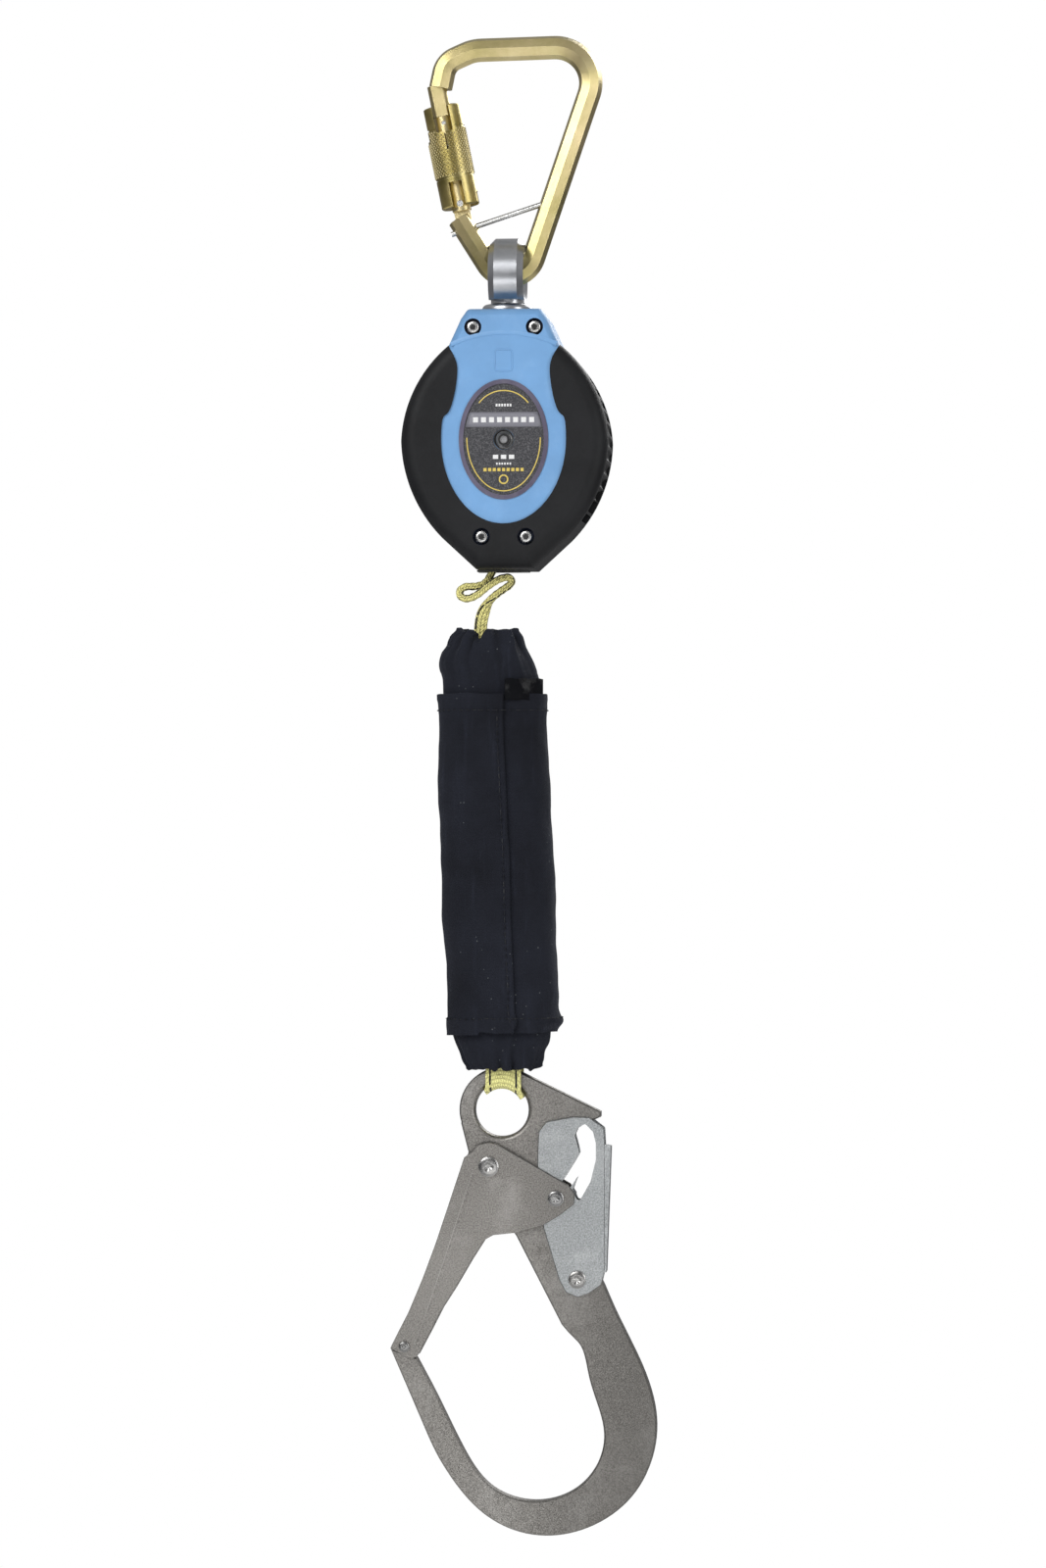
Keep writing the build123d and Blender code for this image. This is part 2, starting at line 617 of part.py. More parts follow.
def line_coupling():
    top = LINE_ROUTE[-1][2]
    low = PACK_AT[1] + PACK_SIZE[2] / 2
    tongue = Pos(LINE_ROUTE[-1][0], 0, (top + low) / 2) * Box(7.0, 8.0, top - low)
    return tongue


def hook_loop():
    """Flat webbing that comes down on both sides of the hook's eye and meets inside its hole."""
    top = PACK_AT[1] - PACK_SIZE[2] / 2
    low = EYE_AT[1] + 9.0
    strand = Pos(LOOP_X, 0, (top + low) / 2) * Box(WEB_WIDTH, 2 * (LOOP_Y + WEB_THICK), top - low)
    between = Pos(LOOP_X, 0, (top + low) / 2 - 4) * Box(WEB_WIDTH + 1, 2 * LOOP_Y, top - low)
    sides = strand - between
    bridge = Pos(EYE_AT[0], EYE_AT[1]) * (Circle(HOOK_EYE_R - 0.5) - Circle(HOOK_EYE_R - 0.5 - WEB_THICK))
    bridge = slab(bridge, -LOOP_Y - WEB_THICK, LOOP_Y + WEB_THICK)
    window = Pos(LOOP_X, 0, EYE_AT[1] + 15) * Box(WEB_WIDTH, 40, 20)
    bridge = bridge & window
    inside = slab(Pos(EYE_AT[0], EYE_AT[1]) * Circle(HOOK_EYE_R - 0.5 - WEB_THICK), -20, 20)
    return sides - inside + bridge


# ---------------------------------------------------------------- rebar hook

def torsion_spring(place, radius, wire, y_front):
    spring = coil(radius, wire, wire + 0.15, 2 * wire)
    turned = Rot(90, 0, 0) * spring
    return Pos(place[0], y_front + 2 * wire + wire / 2, place[1]) * turned


def hook_gate_spring():
    return torsion_spring(GATE_PIVOT, 4.6, 0.6, -GATE_Y[0] + 0.2)


def lever_spring():
    return torsion_spring(LEVER_PIVOT, 4.6, 0.6, -HOOK_HALF)


def run(pair):
    """The direction from one point to the next."""
    (x_from, z_from), (x_to, z_to) = pair
    return (x_to - x_from, z_to - z_from)


def hook_face():
    """The hook's outline: a straight back, a round bowl and a square nose."""
    back = [(-20.0, -505.0), (7.5, -496.4), (44.9, -514.6), (44.9, -517.2), (23.0, -527.0), (19.5, -562.5),
            (39.0, -584.0), (46.6, -599.4), (49.4, -606.0)]
    bowl_out = [back[-1], (66.0, -641.0), (72.2, -667.0), (62.5, -699.5), (46.6, -714.0), (16.3, -722.1),
                (-14.1, -710.4), (-32.1, -688.7), (-48.2, -654.5)]
    nose = [bowl_out[-1], (-58.4, -631.0), (-45.4, -635.8)]
    bowl_in = [nose[-1], (-36.8, -651.8), (-22.6, -680.2), (-9.0, -698.2), (13.4, -705.3), (36.2, -696.3),
               (46.5, -674.5), (39.1, -644.1), (33.4, -627.0)]
    throat = [bowl_in[-1], (28.7, -622.3), (25.8, -618.9), (3.5, -575.6), (-14.0, -552.0), (-21.3, -541.0),
              (-20.0, -534.6), (-23.6, -520.6), back[0]]
    outer = Spline(*bowl_out, tangents=(run(back[-2:]), run(nose[:2])))
    inner = Spline(*bowl_in, tangents=((8.6, -16.0), run(throat[:2])))
    edges = Polyline(*back) + outer + Polyline(*nose) + inner + Polyline(*throat)
    face = make_face(edges) + Pos(*EYE_AT) * Circle(HOOK_RING_R)
    return face - Pos(*EYE_AT) * Circle(HOOK_EYE_R)


def hook_body():
    plate = slab(hook_face(), -HOOK_HALF, HOOK_HALF)
    sides = plate.faces().sort_by(Axis.Y)
    rims = sides[0].outer_wire().edges() + sides[-1].outer_wire().edges()
    plate = chamfer(rims, HOOK_EDGE)
    plate = round_eye(plate)
    plate -= peg(GATE_PIVOT[0], GATE_PIVOT[1], PIVOT_R + PIN_GAP, -20, 20)
    plate -= peg(LEVER_PIVOT[0], LEVER_PIVOT[1], LEVER_PIN_R + PIN_GAP, -20, 20)
    plate -= peg(LEVER_PIVOT[0], LEVER_PIVOT[1], 5.6, -20, -HOOK_HALF + 2.2)
    return plate


def round_eye(plate):
    rims = plate.edges().filter_by(GeomType.CIRCLE)
    hole = [edge for edge in rims if abs(edge.radius - HOOK_EYE_R) < 0.01]
    return fillet(hole, 2.6)


def gate_plate_face():
    points = [(-21.7, -537.0), (-17.6, -534.2), (-15.6, -531.2), (-9.9, -529.6), (-5.8, -530.4), (29.3, -550.5),
              (32.4, -554.8), (31.9, -559.8), (24.4, -565.5), (16.3, -570.4), (3.2, -573.8), (-7.5, -575.0),
              (-11.8, -577.4), (-18.4, -587.8), (-26.7, -602.0), (-33.0, -611.8), (-38.4, -622.5),
              (-44.8, -634.6), (-47.2, -635.7), (-50.4, -634.6), (-58.0, -630.6), (-54.2, -622.9),
              (-49.1, -613.0), (-41.9, -595.8), (-36.0, -579.9), (-34.8, -576.4)]
    return rounded(points, 0.9)


def ease_face(plate):
    """Chamfer the rim of a thin plate's outer face."""
    faces = plate.faces().sort_by(Axis.Y)
    outer = faces[0] if plate.center().Y < 0 else faces[-1]
    return chamfer(outer.outer_wire().edges(), PLATE_EDGE)


def hook_gate():
    face = gate_plate_face()
    plate_front = slab(face, -GATE_Y[1], -GATE_Y[0])
    plate_back = slab(face, GATE_Y[0], GATE_Y[1])
    web = outline([(-36.0, -580.2), (-41.9, -595.8), (-49.1, -613.0), (-54.2, -622.9), (-56.4, -627.4),
                   (-54.8, -628.3), (-52.7, -623.9), (-47.6, -613.8), (-40.4, -596.5), (-34.6, -581.0)])
    body = ease_face(plate_front) + ease_face(plate_back) + slab(web, -GATE_Y[1] + 0.4, GATE_Y[1] - 0.4)
    body -= peg(GATE_PIVOT[0], GATE_PIVOT[1], PIVOT_R, -20, 20)
    body -= peg(GATE_STUD[0], GATE_STUD[1], STUD_R, -20, 20)
    body -= peg(TIP_RIVET[0], TIP_RIVET[1], 1.6, -20, 20)
    return body


def rivet(x, z, shank, head, half_length):
    body = peg(x, z, shank, -half_length, half_length)
    for low, high in ((-half_length - 1.1, -half_length), (half_length, half_length + 1.1)):
        cap = peg(x, z, head, low, high)
        body += cap
    return body


def gate_pivot_rivet():
    return rivet(GATE_PIVOT[0], GATE_PIVOT[1], PIVOT_R, 4.9, GATE_Y[1])


def gate_stud():
    return rivet(GATE_STUD[0], GATE_STUD[1], STUD_R, 3.9, GATE_Y[1])


def tip_rivet():
    return rivet(TIP_RIVET[0], TIP_RIVET[1], 1.6, 2.7, GATE_Y[1])


def tip_pad():
    pad = rounded([(-54.0, -628.9), (-49.6, -626.6), (-46.6, -631.4), (-49.4, -632.9)], 0.6)
    pad = slab(pad, -GATE_Y[0], GATE_Y[0])
    return pad - peg(TIP_RIVET[0], TIP_RIVET[1], 1.65, -20, 20)


def turn_point(point, centre, degrees):
    """Turn a point anticlockwise, as seen from the front."""
    angle = math.radians(degrees)
    x = point[0] - centre[0]
    z = point[1] - centre[1]
    return (centre[0] + x * math.cos(angle) - z * math.sin(angle), centre[1] + x * math.sin(angle) + z * math.cos(angle))


def stud_track():
    """Where the gate's stud runs, as the lever sees it."""
    track = []
    for step in range(18):
        gate_angle = HOOK_GATE_OPEN * step / 17
        stud = turn_point(GATE_STUD, GATE_PIVOT, gate_angle)
        track.append(turn_point(stud, LEVER_PIVOT, -LEVER_RATIO * gate_angle))
    return track


def lever_slot():
    banana = rounded([(37.3, -520.4), (33.6, -523.0), (32.2, -526.0), (33.8, -532.0), (35.0, -538.0), (33.4, -546.8),
                      (31.2, -552.6), (34.0, -559.4), (40.0, -548.6), (42.6, -538.0), (42.6, -530.0),
                      (41.2, -524.4)], 1.2)
    for x, z in stud_track():
        banana += Pos(x, z) * Circle(STUD_R + STUD_GAP)
    return banana


def lock_lever():
    plate = rounded([(14.0, -540.8), (14.2, -532.0), (14.7, -524.4), (18.4, -519.6), (31.2, -517.2), (39.4, -517.4),
                     (46.5, -522.8), (46.9, -530.3), (46.9, -592.0), (45.1, -599.0), (39.4, -603.1), (33.7, -605.2),
                     (27.8, -602.7), (24.6, -596.5), (17.1, -571.6)], 2.0)
    plate = plate - lever_slot()
    front = slab(plate, -LEVER_Y[1], -LEVER_Y[0])
    back = slab(plate, LEVER_Y[0], LEVER_Y[1])
    thumb = outline([(46.6, -531.0), (49.8, -531.6), (49.8, -533.0), (47.6, -593.0), (46.0, -593.0), (46.0, -531.0)])
    lever = ease_face(front) + ease_face(back) + slab(thumb, -LEVER_Y[1] + 0.4, LEVER_Y[1] - 0.4)
    return lever - peg(LEVER_PIVOT[0], LEVER_PIVOT[1], LEVER_PIN_R, -20, 20)


def lever_rivet():
    return rivet(LEVER_PIVOT[0], LEVER_PIVOT[1], LEVER_PIN_R, 4.3, LEVER_Y[1])


def write(name, shape):
    shape.label = name
    export_step(shape, os.path.join("parts", name + ".step"))


os.makedirs("parts", exist_ok=True)

front = {
    "front_bumper": front_bumper(),
    "front_cover": front_cover(),
    "front_bezel": label_bezel(),
    "front_label": front_label(),
}
for name, shape in front.items():
    write(name, shape)
    write(name.replace("front", "rear"), mirror_y(shape))

pieces = {
    "carabiner_body": carabiner_body,
    "captive_pin": captive_pin,
    "carabiner_gate": carabiner_gate,
    "gate_hinge_pin": gate_hinge_pin,
    "gate_catch_pin": gate_catch_pin,
    "gate_plunger": gate_plunger,
    "gate_spring": gate_spring,
    "lock_sleeve": lock_sleeve,
    "sleeve_spring": sleeve_spring,
    "swivel_eye": swivel_eye,
    "swivel_collar": swivel_collar,
    "bearing_washer": bearing_washer,
    "swivel_nut": swivel_nut,
    "housing_screws": housing_screws,
    "housing_nuts": housing_nuts,
    "line_nozzle": line_nozzle,
    "frame_bracket": frame_bracket,
    "drum_shaft": drum_shaft,
    "centre_screw": centre_screw,
    "tie_bolt": tie_bolt,
    "spring_cup": spring_cup,
    "power_spring": power_spring,
    "drum": drum,
    "drum_bush": drum_bush,
    "wound_line": wound_line,
    "pawl_pins": pawl_pins,
    "ratchet_ring": ratchet_ring,
    "lifeline": lifeline,
    "absorber_sleeve": absorber_sleeve,
    "absorber_wrap": absorber_wrap,
    "tear_pack": tear_pack,
    "line_coupling": line_coupling,
    "hook_loop": hook_loop,
    "hook_body": hook_body,
    "hook_gate": hook_gate,
    "gate_pivot_rivet": gate_pivot_rivet,
    "gate_stud": gate_stud,
    "tip_rivet": tip_rivet,
    "tip_pad": tip_pad,
    "lock_lever": lock_lever,
    "lever_rivet": lever_rivet,
    "hook_gate_spring": hook_gate_spring,
    "lever_spring": lever_spring,
}
for name, build in pieces.items():
    write(name, build())

for label, side in (("pawl_a", 1), ("pawl_b", -1)):
    write(label, pawl(side))
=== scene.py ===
"""Looks for a self retracting lifeline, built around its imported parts.

Laid out as an add-on: property groups hold what a user would change, one operator makes each piece or
group of pieces, and a panel lists them. Lengths in the settings are metres; the MM factor turns the
millimetre values in the code into metres.
"""
import math

import bmesh
import bpy
from mathutils import Matrix, Vector, noise


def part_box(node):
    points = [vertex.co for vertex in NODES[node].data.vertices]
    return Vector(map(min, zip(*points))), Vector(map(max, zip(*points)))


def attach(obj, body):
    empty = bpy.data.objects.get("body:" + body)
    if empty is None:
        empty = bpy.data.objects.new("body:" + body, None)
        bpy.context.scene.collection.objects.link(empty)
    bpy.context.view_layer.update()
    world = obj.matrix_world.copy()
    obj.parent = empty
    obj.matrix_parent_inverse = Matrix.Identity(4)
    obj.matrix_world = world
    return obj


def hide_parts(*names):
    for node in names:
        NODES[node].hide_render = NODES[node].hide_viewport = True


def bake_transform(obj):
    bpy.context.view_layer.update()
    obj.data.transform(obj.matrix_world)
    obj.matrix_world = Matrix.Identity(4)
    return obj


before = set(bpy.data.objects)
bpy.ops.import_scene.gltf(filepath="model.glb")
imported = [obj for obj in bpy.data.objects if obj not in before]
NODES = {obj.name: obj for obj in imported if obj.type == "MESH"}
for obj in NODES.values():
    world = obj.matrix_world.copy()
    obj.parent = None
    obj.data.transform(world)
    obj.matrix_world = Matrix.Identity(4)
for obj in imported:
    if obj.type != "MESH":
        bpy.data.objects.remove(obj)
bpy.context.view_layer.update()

bl_info = {
    "name": "Self retracting lifeline",
    "version": (1, 0, 0),
    "blender": (4, 5, 0),
    "location": "3D Viewport > Sidebar > Lifeline",
    "description": "Finishes and soft goods for a self retracting lifeline",
    "category": "Object",
}

MM = 0.001


# ------------------------------------------------------------------ mesh helpers

def new_object(name, mesh, material=None):
    piece = bpy.data.objects.new(name, mesh)
    bpy.context.scene.collection.objects.link(piece)
    if material:
        mesh.materials.append(MATERIALS[material])
    return piece


def smooth_all(mesh, smooth=True):
    mesh.polygons.foreach_set("use_smooth", [smooth] * len(mesh.polygons))


def mesh_from(name, verts, faces, uvs=None, smooth=True):
    """A mesh from points in metres; uvs holds one pair for each corner of each face."""
    mesh = bpy.data.meshes.new(name)
    mesh.from_pydata([tuple(v) for v in verts], [], faces)
    if uvs is not None:
        layer = mesh.uv_layers.new(name="UVMap")
        for loop, uv in zip(layer.data, uvs):
            loop.uv = uv
    smooth_all(mesh, smooth)
    mesh.update()
    return mesh


def recalc(mesh):
    """Point every face outwards."""
    work = bmesh.new()
    work.from_mesh(mesh)
    bmesh.ops.recalc_face_normals(work, faces=work.faces)
    work.to_mesh(mesh)
    work.free()


def grid_faces(rows, columns, closed_rows=False, closed_columns=True):
    """Faces and UV corners of a grid of points stored row by row."""
    faces = []
    uvs = []
    last_row = rows if closed_rows else rows - 1
    last_column = columns if closed_columns else columns - 1
    for i in range(last_row):
        for j in range(last_column):
            i2 = (i + 1) % rows
            j2 = (j + 1) % columns
            faces.append((i * columns + j, i * columns + j2, i2 * columns + j2, i2 * columns + j))
            u0, u1 = j / columns, (j + 1) / columns
            v0, v1 = i / rows, (i + 1) / rows
            uvs += [(u0, v0), (u1, v0), (u1, v1), (u0, v1)]
    return faces, uvs


def add_ends(faces, rows, columns):
    """Close both ends of a tube whose points are stored ring by ring."""
    faces.append(tuple(range(columns - 1, -1, -1)))
    faces.append(tuple((rows - 1) * columns + j for j in range(columns)))


def run_lengths(points):
    """The distance travelled to each point of a run."""
    gone = [0.0]
    for a, b in zip(points, points[1:]):
        gone.append(gone[-1] + (b - a).length)
    return gone


def face_area(mesh):
    return sum(face.area for face in mesh.polygons)


def thicken(piece, thickness, offset=0.0):
    solid = piece.modifiers.new("thickness", "SOLIDIFY")
    solid.thickness = thickness
    solid.offset = offset


def apply_modifiers(piece):
    """Turn a piece with modifiers into a plain mesh."""
    graph = bpy.context.evaluated_depsgraph_get()
    mesh = bpy.data.meshes.new_from_object(piece.evaluated_get(graph))
    piece.modifiers.clear()
    old = piece.data
    piece.data = mesh
    mesh.name = piece.name
    if old.users == 0:
        bpy.data.meshes.remove(old)


def lathe(name, profile, centre, axis, segments=48, ends=True):
    """Turn a profile of (radius, height) pairs, in millimetres, about an axis; without ends it closes on itself."""
    axis = Vector(axis).normalized()
    side = axis.orthogonal().normalized()
    other = axis.cross(side)
    verts = []
    for radius, height in profile:
        for j in range(segments):
            angle = 2 * math.pi * j / segments
            spot = Vector(centre) + side * radius * MM * math.cos(angle) + other * radius * MM * math.sin(angle)
            verts.append(spot + axis * height * MM)
    faces, _ = grid_faces(len(profile), segments, closed_rows=not ends)
    if ends:
        add_ends(faces, len(profile), segments)
    mesh = mesh_from(name, verts, faces)
    recalc(mesh)
    return mesh


def smooth_by_angle(mesh, degrees=32.0):
    """Smooth shading that keeps edges sharper than the given angle."""
    work = bmesh.new()
    work.from_mesh(mesh)
    limit = math.radians(degrees)
    for edge in work.edges:
        edge.smooth = len(edge.link_faces) == 2 and edge.calc_face_angle(0.0) < limit
    for face in work.faces:
        face.smooth = True
    work.to_mesh(mesh)
    work.free()


def join_meshes(name, meshes):
    work = bmesh.new()
    for mesh in meshes:
        work.from_mesh(mesh)
    joined = bpy.data.meshes.new(name)
    work.to_mesh(joined)
    work.free()
    for mesh in meshes:
        bpy.data.meshes.remove(mesh)
    return joined


# ------------------------------------------------------------------ shader building

class Tree:
    """Short hand for building a node tree; a value may be a number, a colour or another node's socket."""

    def __init__(self, tree):
        self.tree = tree

    def feed(self, socket, value):
        if isinstance(value, bpy.types.NodeSocket):
            self.tree.links.new(value, socket)
        elif isinstance(value, tuple) and socket.type == "RGBA":
            socket.default_value = (*value[:3], 1)
        else:
            socket.default_value = value

    def node(self, kind, values=None, **settings):
        made = self.tree.nodes.new(kind)
        for key, value in settings.items():
            setattr(made, key, value)
        for key, value in (values or {}).items():
            self.feed(made.inputs[key], value)
        return made

    def group(self, tree, values):
        return self.node("ShaderNodeGroup", values, node_tree=tree).outputs

    def place(self):
        return self.node("ShaderNodeTexCoord").outputs["Object"]

    def noise(self, vector, scale, detail, rough):
        return self.node("ShaderNodeTexNoise", {
            "Vector": vector, "Scale": scale, "Detail": detail, "Roughness": rough}).outputs["Fac"]

    def math(self, operation, a, b=0.0, c=0.0):
        return self.node("ShaderNodeMath", {0: a, 1: b, 2: c}, operation=operation).outputs[0]

    def add(self, a, b):
        return self.math("ADD", a, b)

    def sub(self, a, b):
        return self.math("SUBTRACT", a, b)

    def mul(self, a, b):
        return self.math("MULTIPLY", a, b)

    def ramp(self, factor, low, high, start=0.0, end=1.0):
        made = self.node("ShaderNodeValToRGB", {0: factor})
        for element, spot, colour in zip(made.color_ramp.elements, (start, end), (low, high)):
            element.position = spot
            element.color = (*colour, 1)
        return made.outputs[0]

    def mix(self, factor, a, b, blend="MIX"):
        return self.node("ShaderNodeMix", {0: factor, 6: a, 7: b}, data_type="RGBA", blend_type=blend).outputs[2]


def group_with(name, inputs, outputs):
    """A shader node group with named float sockets, or only its tree if it is already there."""
    if name in bpy.data.node_groups:
        return bpy.data.node_groups[name], None, None, None
    tree = bpy.data.node_groups.new(name, "ShaderNodeTree")
    for label, default in inputs.items():
        kind = "NodeSocketVector" if default is None else "NodeSocketFloat"
        socket = tree.interface.new_socket(label, in_out="INPUT", socket_type=kind)
        if default is not None:
            socket.default_value = default
    for label in outputs:
        tree.interface.new_socket(label, in_out="OUTPUT", socket_type="NodeSocketFloat")
    build = Tree(tree)
    return tree, build, build.node("NodeGroupInput").outputs, build.node("NodeGroupOutput").inputs


def speckle_group():
    """Fine grain and slow mottling over a surface."""
    tree, build, given, result = group_with("speckle", {"Scale": 900.0, "Mottle Scale": 45.0}, ("Grain", "Mottle"))
    if build:
        place = build.place()
        build.feed(result["Grain"], build.noise(place, given["Scale"], 3.0, 0.65))
        build.feed(result["Mottle"], build.noise(place, given["Mottle Scale"], 5.0, 0.6))
    return tree


def wear_group():
    """A mask that is 1 on worn convex edges and in scattered scuffs."""
    tree, build, given, result = group_with("edge_wear", {"Edge": 0.6, "Scuff Scale": 60.0}, ("Mask",))
    if build:
        scuff = build.noise(build.place(), given["Scuff Scale"], 6.0, 0.7)
        eased = build.node("ShaderNodeBevel", {"Radius": 0.0006}, samples=4).outputs["Normal"]
        plain = build.node("ShaderNodeNewGeometry").outputs["Normal"]
        match = build.node("ShaderNodeVectorMath", {0: eased, 1: plain}, operation="DOT_PRODUCT").outputs["Value"]
        ridge = build.mul(build.sub(0.985, match), 8.0)
        ridge = build.math("MINIMUM", build.math("MAXIMUM", ridge, 0.0), 1.2)
        spots = build.mul(build.sub(scuff, 0.52), 3.0)
        total = build.math("MULTIPLY_ADD", ridge, given["Edge"], spots)
        build.feed(result["Mask"], build.node("ShaderNodeClamp", {"Value": total}).outputs[0])
    return tree


def weave_group():
    """Plain weave on a UV map laid out in metres: height of the threads and the shade between them."""
    tree, build, given, result = group_with(
        "weave", {"Vector": None, "Warp": 1200.0, "Weft": 1200.0}, ("Height", "Shade"))
    if build:
        split = build.node("ShaderNodeSeparateXYZ", {0: given["Vector"]}).outputs
        u = build.mul(split["X"], given["Warp"])
        v = build.mul(split["Y"], given["Weft"])
        across, along = (build.math("ABSOLUTE", build.math("SINE", build.mul(way, math.pi)))
                         for way in (u, v))
        parity = build.add(build.math("FLOOR", u), build.math("FLOOR", v))
        parity = build.math("PINGPONG", parity, 1.0)
        over = build.mul(across, parity)
        under = build.mul(along, build.sub(1.0, parity))
        height = build.add(over, under)
        build.feed(result["Height"], height)
        build.feed(result["Shade"], build.math("POWER", height, 0.6))
    return tree


def material_start(name, settings):
    material = bpy.data.materials.new(name)
    material.use_nodes = True
    shader = material.node_tree.nodes["Principled BSDF"]
    for key, value in settings.items():
        shader.inputs[key].default_value = value
    material.diffuse_color = settings["Base Color"]
    return material, Tree(material.node_tree), shader


def finish_shader(build, shader, tone, rough=None, height=None, strength=0.0, distance=0.0):
    """Feed a shader its colour and, where they are given, its roughness and its bump."""
    build.feed(shader.inputs["Base Color"], tone)
    if rough is not None:
        build.feed(shader.inputs["Roughness"], rough)
    if height is not None:
        bump = build.node("ShaderNodeBump", {"Strength": strength, "Distance": distance, "Height": height})
        build.feed(shader.inputs["Normal"], bump.outputs[0])


def metal(name, dark, light, worn, rough, grain_scale=1400.0, bump=0.25, mottle=45.0, coarse=False, shade=None):
    """A metal whose colour drifts between two tones, with grain and brighter worn edges.

    shade is (x start, x end, strength): painted shade, the colour grows darker along x towards that end."""
    material, build, shader = material_start(name, {"Metallic": 1.0, "Base Color": (*light, 1)})
    speck = build.group(speckle_group(), {"Scale": grain_scale, "Mottle Scale": mottle})
    wear = build.group(wear_group(), {"Edge": 0.7, "Scuff Scale": mottle * 1.6})
    blend = speck["Mottle"]
    if coarse:
        blend = build.math("MULTIPLY_ADD", speck["Grain"], 0.85, build.mul(blend, 0.25))
    tone = build.ramp(blend, dark, light, 0.35, 0.68)
    tone = build.mix(build.mul(wear["Mask"], 0.55), tone, worn)
    # painted shade: darkens the colour along x, towards a third of the light tone
    if shade:
        start, end, strength = shade
        axes = build.node("ShaderNodeSeparateXYZ", {0: build.place()}).outputs
        fade = build.node("ShaderNodeMapRange", {
            "Value": axes[0], "From Min": start, "From Max": end, "To Min": 0.0, "To Max": strength})
        tone = build.mix(fade.outputs[0], tone, tuple(0.3 * c for c in light))
    low, high = rough
    finish_shader(build, shader, tone, build.math("MULTIPLY_ADD", speck["Mottle"], high - low, low),
                  speck["Grain"], bump, 0.0004)
    return material


def plastic(name, dark, light, rough, grain_scale=2600.0, bump=0.12, scuffs=0.12, worn=(0.5, 0.5, 0.5), gloss=0.4):
    """A moulded plastic or rubber with a spark-eroded texture and light scuffs."""
    material, build, shader = material_start(name, {"Base Color": (*light, 1), "Specular IOR Level": gloss})
    speck = build.group(speckle_group(), {"Scale": grain_scale, "Mottle Scale": 38.0})
    wear = build.group(wear_group(), {"Edge": 0.45, "Scuff Scale": 90.0})
    tone = build.ramp(speck["Mottle"], dark, light, 0.3, 0.7)
    tone = build.mix(build.mul(wear["Mask"], scuffs), tone, worn)
    finish_shader(build, shader, tone, build.math("MULTIPLY_ADD", speck["Grain"], 0.18, rough - 0.09),
                  speck["Grain"], bump, 0.0003)
    return material


def cloth(name, dark, light, thread, fuzz):
    """Dark woven cloth on a UV map in metres, with lint, rubbed streaks and painted shade in the creases."""
    material, build, shader = material_start(name, {
        "Base Color": (*dark, 1), "Roughness": 0.9, "Specular IOR Level": 0.2,
        "Sheen Weight": fuzz, "Sheen Roughness": 0.45, "Sheen Tint": (0.5, 0.56, 0.75, 1)})
    uv = build.node("ShaderNodeUVMap", uv_map="UVMap").outputs[0]
    weave = build.group(weave_group(), {"Vector": uv, "Warp": thread, "Weft": thread})
    speck = build.group(speckle_group(), {"Scale": 700.0, "Mottle Scale": 30.0})
    place = build.place()
    lint = build.node("ShaderNodeTexVoronoi", {"Vector": place, "Scale": 260.0, "Randomness": 1.0})
    dots = build.math("LESS_THAN", lint.outputs["Distance"], 0.085)
    dots = build.mul(dots, build.math("GREATER_THAN", speck["Mottle"], 0.54))
    stretched = build.node("ShaderNodeMapping", {"Vector": place, "Scale": (170.0, 170.0, 12.0)}).outputs[0]
    rub = build.sub(build.noise(stretched, 1.0, 6.0, 0.75), 0.55)
    rub = build.mul(build.math("MAXIMUM", build.mul(rub, 3.2), 0.0), speck["Grain"])
    tone = build.ramp(speck["Mottle"], dark, light, 0.3, 0.72)
    tone = build.mix(build.math("MINIMUM", rub, 0.6), tone, tuple(2.6 * value for value in light))
    shade = build.math("MULTIPLY_ADD", weave["Shade"], 0.45, 0.6)
    # painted shade: the crease attribute darkens the colour in the cloth's creases
    crease = build.node("ShaderNodeAttribute", attribute_name="crease").outputs["Fac"]
    shade = build.mul(shade, build.sub(1.0, crease))
    tone = build.mix(1.0, tone, shade, "MULTIPLY")
    tone = build.mix(build.mul(dots, 0.3), tone, (0.25, 0.27, 0.27))
    finish_shader(build, shader, tone, None, weave["Height"], 0.5, 0.0003)
    return material


def webbing(name, light, dark, tracers, rib, slant=0.0, warp=1700.0):
    """Ribbed webbing: ribs run across, slant turns them into chevrons, and dark threads run at the tracers."""
    material, build, shader = material_start(name, {
        "Base Color": (*light, 1), "Roughness": 0.78, "Specular IOR Level": 0.3, "Sheen Weight": 0.12})
    uv = build.node("ShaderNodeUVMap", uv_map="UVMap").outputs[0]
    split = build.node("ShaderNodeSeparateXYZ", {0: uv}).outputs
    lean = build.mul(build.math("ABSOLUTE", split["X"]), slant)
    join = build.node("ShaderNodeCombineXYZ", {"X": split["X"], "Y": build.add(split["Y"], lean)})
    weave = build.group(weave_group(), {"Vector": join.outputs[0], "Warp": warp, "Weft": rib})
    speck = build.group(speckle_group(), {"Scale": 1500.0, "Mottle Scale": 120.0})
    tone = build.ramp(weave["Shade"], dark, light, 0.1, 0.8)
    tone = build.mix(build.mul(speck["Mottle"], 0.3), tone, dark)
    split_line = build.math("LESS_THAN", build.math("ABSOLUTE", split["X"]), 0.00022)
    tone = build.mix(build.mul(split_line, 0.45), tone, dark)
    for offset in tracers:
        away = build.math("ABSOLUTE", build.sub(split["X"], offset))
        step = build.math("PINGPONG", build.mul(split["Y"], rib * 0.5), 1.0)
        mask = build.mul(build.math("LESS_THAN", away, 0.0005), build.math("GREATER_THAN", step, 0.12))
        tone = build.mix(mask, tone, (0.015, 0.015, 0.013))
    finish_shader(build, shader, tone, None, weave["Height"], 1.0, 0.0007)
    return material


def printed(name, colour):
    """Ink on a label, a little uneven."""
    material, build, shader = material_start(name, {"Base Color": (*colour, 1), "Roughness": 0.45})
    speck = build.group(speckle_group(), {"Scale": 2200.0, "Mottle Scale": 160.0})
    faded = tuple(value * 0.72 for value in colour)
    finish_shader(build, shader, build.ramp(speck["Grain"], faded, colour, 0.3, 0.62))
    return material


